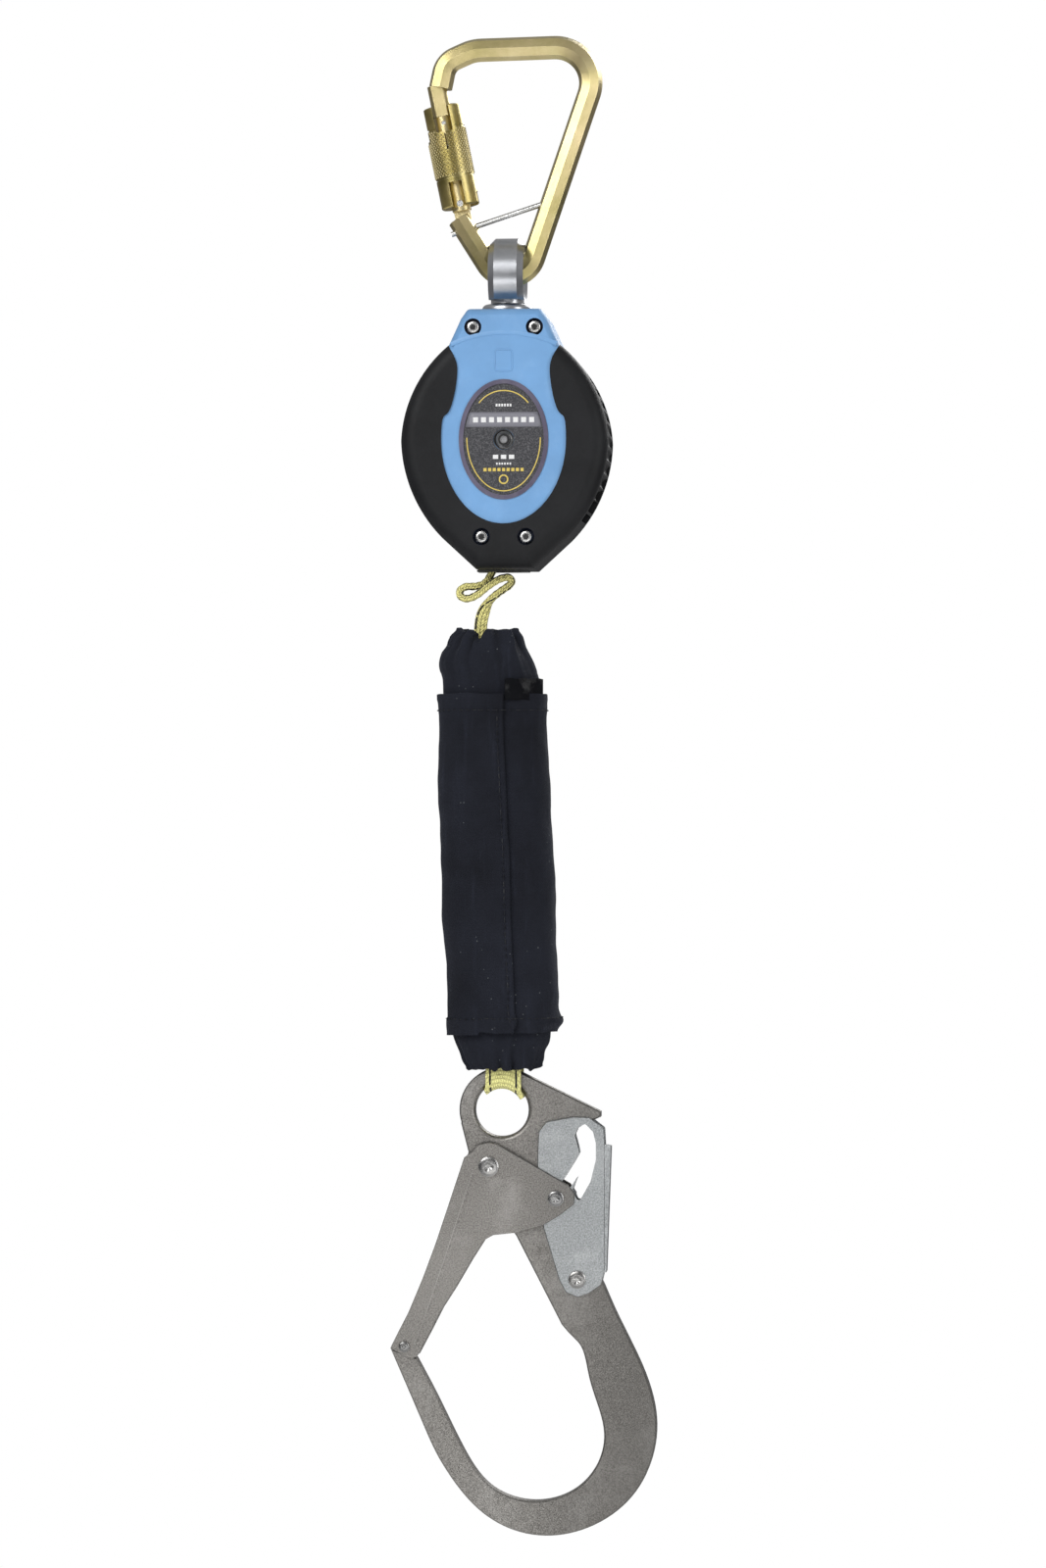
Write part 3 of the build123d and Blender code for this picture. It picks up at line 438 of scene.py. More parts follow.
def label_face(name):
    """Dark label film with pale flecks."""
    material, build, shader = material_start(name, {"Base Color": (0.04, 0.04, 0.05, 1), "Roughness": 0.42})
    speck = build.group(speckle_group(), {"Scale": 1700.0, "Mottle Scale": 200.0})
    tone = build.ramp(speck["Grain"], (0.018, 0.018, 0.022), (0.16, 0.16, 0.17), 0.47, 0.82)
    finish_shader(build, shader, tone, None, speck["Grain"], 0.06, 0.0002)
    return material


MATERIALS = {}


def grey(value):
    return (value, value, value)


def make_materials(tint):
    """Every finish on the object, by the record's slot or a plain name."""
    blue = tuple(tint.cover_blue)
    yellow = tuple(tint.webbing_yellow)
    MATERIALS.update({
        "steel_yellow": metal("yellow zinc", (0.38, 0.33, 0.13), (0.68, 0.56, 0.32), (0.80, 0.74, 0.44),
                              (0.26, 0.42), 1500.0, 0.14, 22.0),
        # partly the sleeve's own tone and partly painted shade: darker than steel_yellow on the knurl diamonds, so
        # the grooves between them read as shade
        "sleeve_yellow": metal("yellow zinc sleeve", (0.28, 0.23, 0.075), (0.56, 0.45, 0.18), (0.74, 0.66, 0.36),
                               (0.24, 0.38), 1300.0, 0.12, 40.0),
        "pin_steel": metal("bright pin", (0.38, 0.38, 0.37), (0.58, 0.58, 0.57), grey(0.8), (0.2, 0.32)),
        "eye_chrome": metal("polished eye", (0.36, 0.37, 0.39), (0.54, 0.55, 0.57), (0.74, 0.74, 0.75),
                            (0.24, 0.36), 700.0, 0.06, 30.0),
        "inner_steel": metal("mill steel", grey(0.38), grey(0.58), grey(0.7), (0.3, 0.5)),
        "spring_steel": metal("spring steel", (0.25, 0.25, 0.26), grey(0.5), grey(0.6), (0.25, 0.4)),
        "screw_steel": metal("screw steel", (0.24, 0.24, 0.25), (0.42, 0.42, 0.43), grey(0.62), (0.22, 0.36)),
        "drum_alloy": metal("cast alloy", (0.5, 0.5, 0.51), (0.68, 0.68, 0.69), grey(0.8), (0.35, 0.55)),
        "bush_bronze": metal("bronze", (0.4, 0.27, 0.1), (0.62, 0.44, 0.2), (0.8, 0.6, 0.3), (0.3, 0.45)),
        # painted shade: shade=(...) darkens the hook towards +x, its right side
        "hook_steel": metal("tumbled zinc", (0.085, 0.08, 0.074), (0.30, 0.288, 0.27), (0.50, 0.49, 0.47),
                            (0.34, 0.50), 1500.0, 0.35, 14.0, coarse=True, shade=(0.0, 0.062, 0.62)),
        "lever_steel": metal("pressed zinc", (0.17, 0.178, 0.18), (0.37, 0.385, 0.39), (0.58, 0.59, 0.59),
                             (0.32, 0.46), 1300.0, 0.2, 18.0, coarse=True),
        "rivet_steel": metal("staked steel", grey(0.13), (0.30, 0.295, 0.285), (0.48, 0.48, 0.47), (0.18, 0.3)),
        # painted shade: near black blue for the walls and floors of the screw recesses
        "well_painted_shade": plastic("screw well", (0.004, 0.007, 0.018), (0.008, 0.014, 0.038), 0.6, gloss=0.2),
        # painted shade: near black steel for the insides of holes, on the centre screw, the centre hole's liner and
        # the discs over the screw sockets
        "hole_shade_steel": metal("blackened steel", grey(0.02), grey(0.05), grey(0.2), (0.3, 0.5)),
        "cover_blue": plastic("blue cover", tuple(0.86 * c for c in blue), blue, 0.46, worn=(0.45, 0.62, 0.85)),
        "bumper_black": plastic("soft bumper", (0.0045, 0.0048, 0.0055), (0.010, 0.0105, 0.012), 0.55, 1900.0, 0.2,
                                0.04, (0.05, 0.05, 0.055), 0.2),
        "nozzle_black": plastic("nozzle", grey(0.01), grey(0.03), 0.5),
        "bezel_dark": plastic("bezel", (0.06, 0.05, 0.085), (0.11, 0.10, 0.15), 0.4, 2000.0, 0.1),
        "label_dark": label_face("label film"),
        "band": printed("label band", (0.19, 0.19, 0.22)),
        "print_yellow": printed("label yellow", (0.66, 0.50, 0.10)),
        "print_white": printed("label white", grey(0.75)),
        "cloth_black": cloth("flame resistant cloth", (0.0050, 0.0057, 0.0095), (0.0125, 0.0145, 0.0225),
                             1500.0, 0.05),
        "hook_tape": plastic("hook tape", (0.002, 0.002, 0.003), (0.006, 0.0065, 0.008), 0.95, 3200.0, 0.9,
                             gloss=0.1),
        "thread_black": plastic("thread", (0.004, 0.0045, 0.007), (0.010, 0.011, 0.016), 0.85, gloss=0.15),
        "webbing_yellow": webbing("loop webbing", tuple(min(1.0, 1.12 * c + 0.04) for c in yellow),
                                  tuple(0.7 * c for c in yellow), (-0.0066, 0.0066), 480.0),
        "line_yellow": webbing("line webbing", yellow, tuple(0.22 * c for c in yellow), (-0.0023,), 620.0,
                               1.0, 560.0),
        "packed_web": plastic("packed webbing", (0.42, 0.36, 0.08), (0.62, 0.55, 0.16), 0.85, 900.0, 0.7),
    })


def dress(piece, key):
    """Give a piece one finish."""
    piece.data.materials.clear()
    piece.data.materials.append(MATERIALS[key])


# ------------------------------------------------------------------ scattering with geometry nodes

def scatter_tree():
    """Instances of a shape on points, turned by the points' own directions, then made real."""
    if "scatter" in bpy.data.node_groups:
        return bpy.data.node_groups["scatter"]
    tree = bpy.data.node_groups.new("scatter", "GeometryNodeTree")
    for label, way, kind in (("Geometry", "INPUT", "Geometry"), ("Shape", "INPUT", "Object"),
                             ("Finish", "INPUT", "Material"), ("Geometry", "OUTPUT", "Geometry")):
        tree.interface.new_socket(label, in_out=way, socket_type="NodeSocket" + kind)
    build = Tree(tree)
    given = build.node("NodeGroupInput").outputs
    shape = build.node("GeometryNodeObjectInfo", {"Object": given["Shape"]})
    outward, along = (build.node("GeometryNodeInputNamedAttribute", {"Name": label},
                                 data_type="FLOAT_VECTOR").outputs["Attribute"] for label in ("outward", "along"))
    stand = build.node("FunctionNodeAlignRotationToVector", {"Vector": outward}, axis="Z").outputs[0]
    turn = build.node("FunctionNodeAlignRotationToVector", {"Rotation": stand, "Vector": along},
                      axis="X", pivot_axis="Z").outputs[0]
    copies = build.node("GeometryNodeInstanceOnPoints", {
        "Points": given["Geometry"], "Instance": shape.outputs["Geometry"], "Rotation": turn})
    real = build.node("GeometryNodeRealizeInstances", {0: copies.outputs[0]})
    paint = build.node("GeometryNodeSetMaterial", {"Geometry": real.outputs[0], "Material": given["Finish"]})
    build.feed(build.node("NodeGroupOutput").inputs[0], paint.outputs[0])
    return tree


def scatter(name, shape_mesh, places, finish):
    """Repeat a small shape at places, each a point with an outward and an along direction."""
    carrier = bpy.data.meshes.new(name)
    carrier.from_pydata([tuple(p[0]) for p in places], [], [])
    for index, label in ((1, "outward"), (2, "along")):
        layer = carrier.attributes.new(label, "FLOAT_VECTOR", "POINT")
        for item, place in zip(layer.data, places):
            item.vector = place[index]
    piece = new_object(name, carrier)
    shape = new_object(name + "_shape", shape_mesh)
    modifier = piece.modifiers.new("scatter", "NODES")
    modifier.node_group = scatter_tree()
    values = {"Shape": shape, "Finish": MATERIALS[finish]}
    for item in modifier.node_group.interface.items_tree:
        if item.item_type == "SOCKET" and item.in_out == "INPUT" and item.name in values:
            modifier[item.identifier] = values[item.name]
    bpy.context.view_layer.update()
    apply_modifiers(piece)
    bpy.data.objects.remove(shape)
    bpy.data.meshes.remove(shape_mesh)
    smooth_all(piece.data)
    return piece


def stitch_shape(length, thick, rows=7, sides=6):
    """One short run of thread that dips at both ends."""
    verts = []
    for i in range(rows):
        share = i / (rows - 1)
        swell = math.sin(math.pi * share)
        radius = thick / 2 * (0.35 + 0.65 * swell)
        for j in range(sides):
            angle = 2 * math.pi * j / sides
            verts.append(Vector(((share - 0.5) * length, radius * math.cos(angle),
                                 thick * 0.55 * swell + radius * math.sin(angle))) * MM)
    faces, _ = grid_faces(rows, sides)
    add_ends(faces, rows, sides)
    mesh = mesh_from("stitch", verts, faces)
    recalc(mesh)
    return mesh


# ------------------------------------------------------------------ settings

def length(name, description, millimetres, precision=4):
    return bpy.props.FloatProperty(name=name, description=description, default=millimetres * MM,
                                   unit="LENGTH", precision=precision)


def colour(name, description, default):
    return bpy.props.FloatVectorProperty(name=name, description=description, default=default,
                                         subtype="COLOR", size=3, min=0.0, max=1.0)


class LifelineColours(bpy.types.PropertyGroup):
    """Colours of the moulded covers and the webbing."""
    cover_blue: colour("Cover blue", "Colour of the moulded housing covers", (0.150, 0.325, 0.585))
    webbing_yellow: colour("Webbing yellow", "Colour of the lifeline and the hook loop", (0.90, 0.83, 0.31))


class LifelineSizes(bpy.types.PropertyGroup):
    """Sizes of the soft goods and of the fine detail."""
    line_width: length("Line width in the loops", "Width of the line seen edge-on in its loops", 3.9)
    line_width_end: length("Line width at the sleeve", "Width of the line where it lies flat at the sleeve", 6.4)
    line_thickness: length("Line thickness", "Thickness of the braided line", 3.7)
    cloth_thickness: length("Cloth thickness", "Thickness of the absorber's cloth", 1.3)
    fold_depth: length("Fold depth", "Depth of the folds where the cloth is gathered", 3.0)
    stitch_pitch: length("Stitch pitch", "Distance from one stitch to the next", 3.3)
    knurl_pitch: length("Knurl pitch", "Distance between the diamonds of the lock sleeve's grip", 1.7, 5)


class LifelineStage(bpy.types.PropertyGroup):
    """Camera and lights."""
    distance: bpy.props.FloatProperty(
        name="Camera distance", description="From the camera to the middle of the view",
        default=2.5, unit="LENGTH")
    yaw: bpy.props.FloatProperty(
        name="Camera yaw", description="How far round to the right the camera stands",
        default=math.radians(4.5), subtype="ANGLE")
    view_height: bpy.props.FloatProperty(
        name="View height", description="Height of the view at the object", default=0.768, unit="LENGTH")
    key_power: bpy.props.FloatProperty(
        name="Key light", description="Power of the main soft light", default=27.0, unit="POWER")
    fill_power: bpy.props.FloatProperty(
        name="Fill light", description="Power of the fill light", default=13.0, unit="POWER")


# ------------------------------------------------------------------ shape rules

LINE_ROUTE = [
    (-8.4, 2.2, -249.6), (-11.0, 2.2, -256.0), (-16.8, 1.7, -257.9), (-22.5, 0.9, -257.6),
    (-25.4, 0.0, -260.9), (-22.5, -1.0, -264.3), (-16.6, -1.8, -262.8), (-10.6, -2.2, -257.6),
    (-4.6, -2.2, -253.9), (0.3, -1.3, -253.1), (1.3, 0.3, -256.4), (-4.4, 1.2, -259.9),
    (-10.1, 1.2, -264.4), (-13.2, 0.6, -270.6), (-14.5, 0.0, -277.4), (-14.5, 0.0, -284.2),
]
SLEEVE_ROWS = [
    (-279.5, -11.0, 13.8, 9.5), (-283.0, -11.4, 17.0, 12.6), (-287.7, -11.6, 18.9, 14.6), (-291.0, -12.0, 21.0, 15.8),
    (-296.0, -11.3, 22.8, 16.6), (-303.0, -9.3, 23.4, 17.0), (-311.0, -8.2, 24.4, 17.2), (-340.0, -8.0, 24.2, 17.2),
    (-440.0, -4.8, 24.4, 17.2), (-466.0, -4.0, 25.0, 17.4), (-476.0, -3.9, 23.8, 17.2), (-481.0, -3.6, 22.4, 16.6),
    (-485.3, -3.6, 20.2, 16.0), (-489.6, -3.1, 18.8, 15.2), (-493.2, -2.5, 16.6, 13.8),
]
WRAP_ROWS = [
    (-310.6, -8.5, 26.5, 18.8), (-316.0, -8.5, 26.6, 19.2), (-330.0, -8.5, 26.4, 19.4), (-352.0, -7.7, 27.1, 19.6),
    (-388.0, -6.0, 27.6, 19.8), (-426.0, -4.9, 27.5, 19.8), (-456.0, -3.3, 26.7, 19.6), (-464.0, -3.4, 26.6, 19.4),
    (-470.5, -2.6, 27.5, 19.2), (-475.6, -4.0, 25.4, 18.6),
]
OVERLAP = 1.036         # turns that the wrap makes round the sleeve
SLEEVE_TOP, SLEEVE_LOW = SLEEVE_ROWS[0][0], SLEEVE_ROWS[-1][0]
WRAP_TOP, WRAP_LOW = WRAP_ROWS[0][0], WRAP_ROWS[-1][0]


def fade(away, reach):
    """1 at an edge, dying away with the distance from it."""
    return math.exp(-max(0.0, away) / reach)


def pushed(x, y, push):
    """A point of a section, moved outwards by a distance."""
    grow = 1 + push / math.hypot(x, y)
    return x * grow, y * grow


def between_rows(rows, z):
    """Centre and half sizes at a height, eased between the rows."""
    if z >= rows[0][0]:
        return rows[0][1:]
    for index in range(len(rows) - 1):
        upper, lower = rows[index], rows[index + 1]
        if z >= lower[0]:
            before = rows[max(index - 1, 0)]
            after = rows[min(index + 2, len(rows) - 1)]
            share = (upper[0] - z) / (upper[0] - lower[0])
            out = []
            for k in (1, 2, 3):
                rise = (lower[k] - before[k]) / (before[0] - lower[0]) if before is not upper else 0.0
                fall = (after[k] - upper[k]) / (upper[0] - after[0]) if after is not lower else 0.0
                step = upper[0] - lower[0]
                s2, s3 = share * share, share ** 3
                value = ((2 * s3 - 3 * s2 + 1) * upper[k] + (s3 - 2 * s2 + share) * rise * step
                         + (3 * s2 - 2 * s3) * lower[k] + (s3 - s2) * fall * step)
                out.append(value)
            return tuple(out)
    return rows[-1][1:]


def cloth_section(theta, half_width, half_depth, squareness=2.5):
    """A rounded oblong: theta 0 is the right side and a quarter turn is the front."""
    c, s = math.cos(theta), math.sin(theta)
    reach = (abs(c) ** squareness + abs(s) ** squareness) ** (-1 / squareness)
    return half_width * reach * c, -half_depth * reach * s


def folds(theta):
    """A fixed uneven run of pleats around the cloth: broad ridges and narrow valleys, from about -1 to 1."""
    swing = theta + 0.16 * math.sin(3 * theta + 0.7) + 0.1 * math.sin(5 * theta + 2.0)
    broad = 1 - 2 * abs(math.cos(4.5 * swing + 0.9)) ** 3.2
    fine = 1 - 2 * abs(math.cos(7 * swing + 2.1)) ** 2.6
    return 0.62 * broad + 0.3 * fine + 0.14 * math.cos(23 * theta)


def crease_shade_depth(theta, z):
    """How deep in a pleat a spot on the sleeve lies, from 0 to about 0.6; the cloth darkens its colour by it as
    painted shade.
    """
    top = fade(SLEEVE_TOP - z, 13.0)
    low = fade(z - SLEEVE_LOW, 9.0)
    valley = max(0.0, -folds(theta)) * top + 0.8 * max(0.0, -folds(theta + 0.7)) * low
    return min(0.62, 0.9 * valley)


def wobble(x, y, z, scale, seed=0.0):
    return noise.noise(Vector((x / scale + seed, y / scale, z / scale)))


def sleeve_point(theta, z, fold):
    """A point on the gathered sleeve, in millimetres."""
    x0, half_width, half_depth = between_rows(SLEEVE_ROWS, z)
    x, y = cloth_section(theta, half_width, half_depth, 2.3)
    top = fade(SLEEVE_TOP - z, 13.0)
    low = fade(z - SLEEVE_LOW, 9.0)
    push = fold * (folds(theta) * top + 0.75 * folds(theta + 0.7) * low)
    push += 0.8 * wobble(x, y, z, 14.0) * (1 if z > -300 or z < -470 else 0.3)
    x, y = pushed(x, y, push)
    rim = 1.5 * folds(theta * 0.8 + 2.0) * top - 3.4 * top * math.exp(-((x + 3.5) / 3.4) ** 2) * (y < 0)
    sag = -1.1 * folds(theta + 0.3) * low
    return Vector((x0 + x, y, z + rim + sag))


def wrap_point(turn, z, lift=0.0):
    """A point on the outer wrap; turn runs from 0 at its inner edge to 1 and on to its overlap."""
    x0, half_width, half_depth = between_rows(WRAP_ROWS, z)
    theta = -math.pi / 2 - 2 * math.pi * turn + math.pi - 0.02
    over = 1.7 * min(1.0, max(0.0, (turn - 0.86) / 0.12)) ** 1.5
    x, y = cloth_section(theta, half_width + over, half_depth + over, 2.7)
    low = fade(z - WRAP_LOW, 7.0)
    push = 1.0 * wobble(x, y, z, 26.0, 5.0) + 0.45 * wobble(x, y, z, 9.0, 9.0) + lift
    push += low * (0.9 * folds(theta * 0.9) + (1.2 if x > 0 else 0.0))
    x, y = pushed(x, y, push)
    top = fade(WRAP_TOP - z, 5.0)
    shift = 0.8 * wobble(x, y, 0.0, 12.0, 2.0) * (top + low) - 1.6 * low * (x < -10)
    return Vector((x0 + x, y, z + shift))


def sheet_grid(name, point, columns, rows, closed, thickness, material, crease=None):
    """A cloth surface from point(i, j) in millimetres, given its thickness inwards."""
    verts = [point(i, j) * MM for i in range(rows) for j in range(columns)]
    faces, _ = grid_faces(rows, columns, False, closed)
    lengths = run_lengths(verts[::columns])
    middle = rows // 2 * columns
    widths = run_lengths(verts[middle:middle + columns] + [verts[middle]])
    uvs = []
    for face in faces:
        i, j = divmod(face[0], columns)
        uvs += [(widths[j], lengths[i]), (widths[j + 1], lengths[i]),
                (widths[j + 1], lengths[i + 1]), (widths[j], lengths[i + 1])]
    mesh = mesh_from(name, verts, faces, uvs)
    middle_face = mesh.polygons[len(mesh.polygons) // 2]
    away = middle_face.center - sum(verts, Vector()) / len(verts)
    if middle_face.normal.dot(Vector((away.x, away.y, 0))) < 0:
        mesh.flip_normals()
    # crease(i, j) gives the painted shade of each point, stored as the crease attribute
    if crease:
        layer = mesh.attributes.new("crease", "FLOAT", "POINT")
        for index, item in enumerate(layer.data):
            item.value = crease(*divmod(index, columns))
    piece = new_object(name, mesh, material)
    area = face_area(mesh)
    thicken(piece, thickness, -1.0)
    apply_modifiers(piece)
    smooth_all(piece.data)
    return piece, area


def bead(name, points, width, height, material, plane_y=0.0, closed=False, sides=8, slope=0.0):
    """A flat-backed bead along (x, z) points in millimetres, standing out from a plane that faces the front."""
    verts = []
    count = len(points)
    for k, (x, z) in enumerate(points):
        before = points[(k - 1) % count] if closed or k else points[0]
        after = points[(k + 1) % count] if closed or k < count - 1 else points[-1]
        run = Vector((after[0] - before[0], after[1] - before[1])).normalized()
        across = Vector((-run.y, run.x))
        for j in range(sides):
            angle = math.pi * j / (sides - 1)
            sway = math.cos(angle)
            rise = math.sin(angle) ** 0.7 if not slope else math.sin(angle) * (1 + slope * sway) * 0.6
            verts.append(Vector(((x + across.x * sway * width / 2), plane_y - max(0.0, rise) * height,
                                 (z + across.y * sway * width / 2))) * MM)
    faces, uvs = grid_faces(count, sides, closed, True)
    if not closed:
        add_ends(faces, count, sides)
        uvs += [(0, 0)] * (2 * sides)
    mesh = mesh_from(name, verts, faces, uvs)
    recalc(mesh)
    piece = new_object(name, mesh, material)
    smooth_by_angle(piece.data, 40)
    return piece


def oval(centre, half_width, half_height, start, end, count):
    """Points of an elliptical arc from one angle to another, in degrees."""
    points = []
    for k in range(count):
        angle = math.radians(start + (end - start) * k / (count - 1))
        points.append((centre[0] + half_width * math.cos(angle), centre[1] + half_height * math.sin(angle)))
    return points


def label_centre():
    """The middle of the front label and the height of its face, in millimetres."""
    low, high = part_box("front_label")
    return (low.x + high.x) / 2 / MM, (low.z + high.z) / 2 / MM, low.y / MM


def on_both_faces(piece):
    """Fix a detail to the housing, with a copy turned half a turn about the vertical for the rear face."""
    low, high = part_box("front_label")
    middle = Matrix.Translation(((low.x + high.x) / 2, 0, 0))
    mesh = piece.data.copy()
    mesh.transform(middle @ Matrix.Rotation(math.pi, 4, "Z") @ middle.inverted())
    for item in (piece, new_object("rear_" + piece.name, mesh)):
        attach(item, "housing")


# ------------------------------------------------------------------ operators

SCREW_SPOTS = ((14.0, -132.8), (-16.0, -132.8), (9.8, -234.6), (-11.8, -234.6))
SCREW_SEAT_Y, SCREW_HEAD_Y = -21.45, -24.4
FLOOR_RADIUS = 1.4
FLOOR_Z = -0.97
VIEW_MIDDLE = Vector((0.0065, 0.0, -0.3546))
SKY = ((0.0, (0.55, 0.55, 0.56)), (1.0, (1.0, 1.0, 1.0)), (0.42, (0.30, 0.30, 0.31)), (0.56, (0.62, 0.62, 0.63)))


class LIFELINE_OT_stage(bpy.types.Operator):
    """Pale floor, soft lights and the camera"""
    bl_idname = "lifeline.stage"
    bl_label = "Stage, lights and camera"

    def execute(self, context):
        look = context.scene.lifeline_stage
        scene = context.scene
        scene.view_settings.view_transform = "Standard"
        corners = [math.pi * k / 32 for k in range(64)]
        floor = new_object("floor", mesh_from(
            "floor", [Vector((FLOOR_RADIUS * math.cos(a), FLOOR_RADIUS * math.sin(a), FLOOR_Z)) for a in corners],
            [tuple(range(len(corners)))], smooth=False))
        pale, build, shader = material_start("pale floor", {"Base Color": (0.86, 0.86, 0.86, 1), "Roughness": 0.9})
        grain = build.group(speckle_group(), {"Scale": 40.0, "Mottle Scale": 3.0})
        finish_shader(build, shader, build.ramp(grain["Mottle"], grey(0.84), grey(0.89)))
        floor.data.materials.append(pale)

        world = bpy.data.worlds.new("soft studio")
        scene.world = world
        world.use_nodes = True
        build = Tree(world.node_tree)
        world.node_tree.nodes.clear()
        place = build.node("ShaderNodeTexCoord").outputs["Generated"]
        split = build.node("ShaderNodeSeparateXYZ", {0: place}).outputs
        sky = build.node("ShaderNodeValToRGB", {0: build.math("MULTIPLY_ADD", split["Z"], 0.5, 0.5)})
        ramp = sky.color_ramp.elements
        for height, tone in SKY:
            element = ramp[0] if height == 0.0 else ramp[-1] if height == 1.0 else ramp.new(height)
            element.color = (*tone, 1)
        glow = build.node("ShaderNodeBackground", {"Color": sky.outputs[0], "Strength": 0.48})
        seen = build.node("ShaderNodeBackground", {"Color": (1, 1, 1), "Strength": 1.0})
        path = build.node("ShaderNodeLightPath").outputs["Is Camera Ray"]
        mix = build.node("ShaderNodeMixShader", {0: path, 1: glow.outputs[0], 2: seen.outputs[0]})
        build.node("ShaderNodeOutputWorld", {"Surface": mix.outputs[0]})

        for name, spot, size, power in (
                ("key", (-0.9, -1.5, 0.65), (1.3, 1.0), look.key_power),
                ("fill", (1.5, -1.1, -0.1), (0.7, 1.5), look.fill_power),
                ("front", (0.15, -2.0, -0.9), (1.6, 0.6), look.fill_power * 0.6),
                ("rim", (0.6, 1.2, 0.5), (1.0, 0.6), look.fill_power)):
            light = bpy.data.lights.new(name, "AREA")
            light.shape = "RECTANGLE"
            light.size, light.size_y = size
            light.energy = power
            lamp = bpy.data.objects.new(name, light)
            scene.collection.objects.link(lamp)
            lamp.location = spot
            lamp.rotation_euler = (VIEW_MIDDLE - Vector(spot)).to_track_quat("-Z", "Y").to_euler()

        camera = bpy.data.cameras.new("camera")
        camera.sensor_fit = "VERTICAL"
        camera.sensor_height = 36.0
        camera.lens = 36.0 * look.distance / look.view_height
        camera.clip_end = 50.0
        holder = bpy.data.objects.new("camera", camera)
        scene.collection.objects.link(holder)
        back = Vector((math.sin(look.yaw), -math.cos(look.yaw), 0.0))
        holder.location = VIEW_MIDDLE + back * look.distance
        holder.rotation_euler = (-back).to_track_quat("-Z", "Y").to_euler()
        scene.camera = holder
        return {"FINISHED"}


class LIFELINE_OT_finishes(bpy.types.Operator):
    """Procedural finishes for every hard part of the frame"""
    bl_idname = "lifeline.finishes"
    bl_label = "Finishes"

    def execute(self, context):
        make_materials(context.scene.lifeline_colours)
        # painted shade: the centre screw deep in its hole takes the dark hole steel
        special = {"centre_screw": "hole_shade_steel", "tear_pack": "packed_web", "wound_line": "packed_web",
                   "line_coupling": "packed_web"}
        for name in NODES:
            part = bpy.data.objects[name]
            for slot in part.material_slots:
                slot.material = MATERIALS[special.get(name, slot.name)]
        return {"FINISHED"}


class LIFELINE_OT_line(bpy.types.Operator):
    """The limp braided line in its two loops, which turns flat where it enters the sleeve"""
    bl_idname = "lifeline.line"
    bl_label = "Lifeline"

    def execute(self, context):
        sizes = context.scene.lifeline_sizes
        curve = bpy.data.curves.new("line_route", "CURVE")
        curve.dimensions = "3D"
        curve.resolution_u = 12
        spline = curve.splines.new("NURBS")
        spline.points.add(len(LINE_ROUTE) - 1)
        for point, spot in zip(spline.points, LINE_ROUTE):
            point.co = (*(v * MM for v in spot), 1.0)
        spline.order_u = 3
        spline.use_endpoint_u = True
        route = new_object("line_route", curve)
        bpy.context.view_layer.update()
        graph = context.evaluated_depsgraph_get()
        thread = bpy.data.meshes.new_from_object(route.evaluated_get(graph))
        path = []
        for vertex in thread.vertices:
            if not path or (vertex.co - path[-1]).length > 0.00002:
                path.append(vertex.co.copy())
        bpy.data.objects.remove(route)
        bpy.data.meshes.remove(thread)

        travelled = run_lengths(path)
        verts = []
        sides = 16
        for k, spot in enumerate(path):
            run = (path[min(k + 1, len(path) - 1)] - path[max(k - 1, 0)]).normalized()
            share = travelled[k] / travelled[-1]
            twist = min(1.0, max(0.0, (share - 0.70) / 0.18))
            twist = twist * twist * (3 - 2 * twist)
            wide = Vector((math.sin(twist * math.pi / 2), math.cos(twist * math.pi / 2), 0.0))
            wide = (wide - run * wide.dot(run)).normalized()
            thick = run.cross(wide).normalized()
            width = sizes.line_width + (sizes.line_width_end - sizes.line_width) * twist
            depth = sizes.line_thickness * (1 - 0.36 * twist)
            depth *= 1 + 0.05 * math.sin(travelled[k] / MM * 1.9)
            for j in range(sides):
                x, y = cloth_section(math.pi / 2 + 2 * math.pi * j / sides, width / 2, depth / 2, 2.8)
                verts.append(spot + wide * x + thick * y)
        faces, _ = grid_faces(len(path), sides)
        girth = run_lengths([
            Vector(cloth_section(math.pi / 2 + 2 * math.pi * j / sides, 3.0 * MM, 1.4 * MM, 2.8))
            for j in range(sides + 1)])
        uvs = []
        for face in faces:
            i, j = divmod(face[0], sides)
            left, right = girth[j] - girth[-1] / 2, girth[j + 1] - girth[-1] / 2
            uvs += [(left, travelled[i]), (right, travelled[i]), (right, travelled[i + 1]), (left, travelled[i + 1])]
        add_ends(faces, len(path), sides)
        uvs += [(0, 0)] * (2 * sides)
        mesh = mesh_from("braided_line", verts, faces, uvs)
        recalc(mesh)
        piece = new_object("braided_line", mesh)
        dress(piece, "line_yellow")
        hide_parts("lifeline")
        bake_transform(piece)
        return {"FINISHED"}


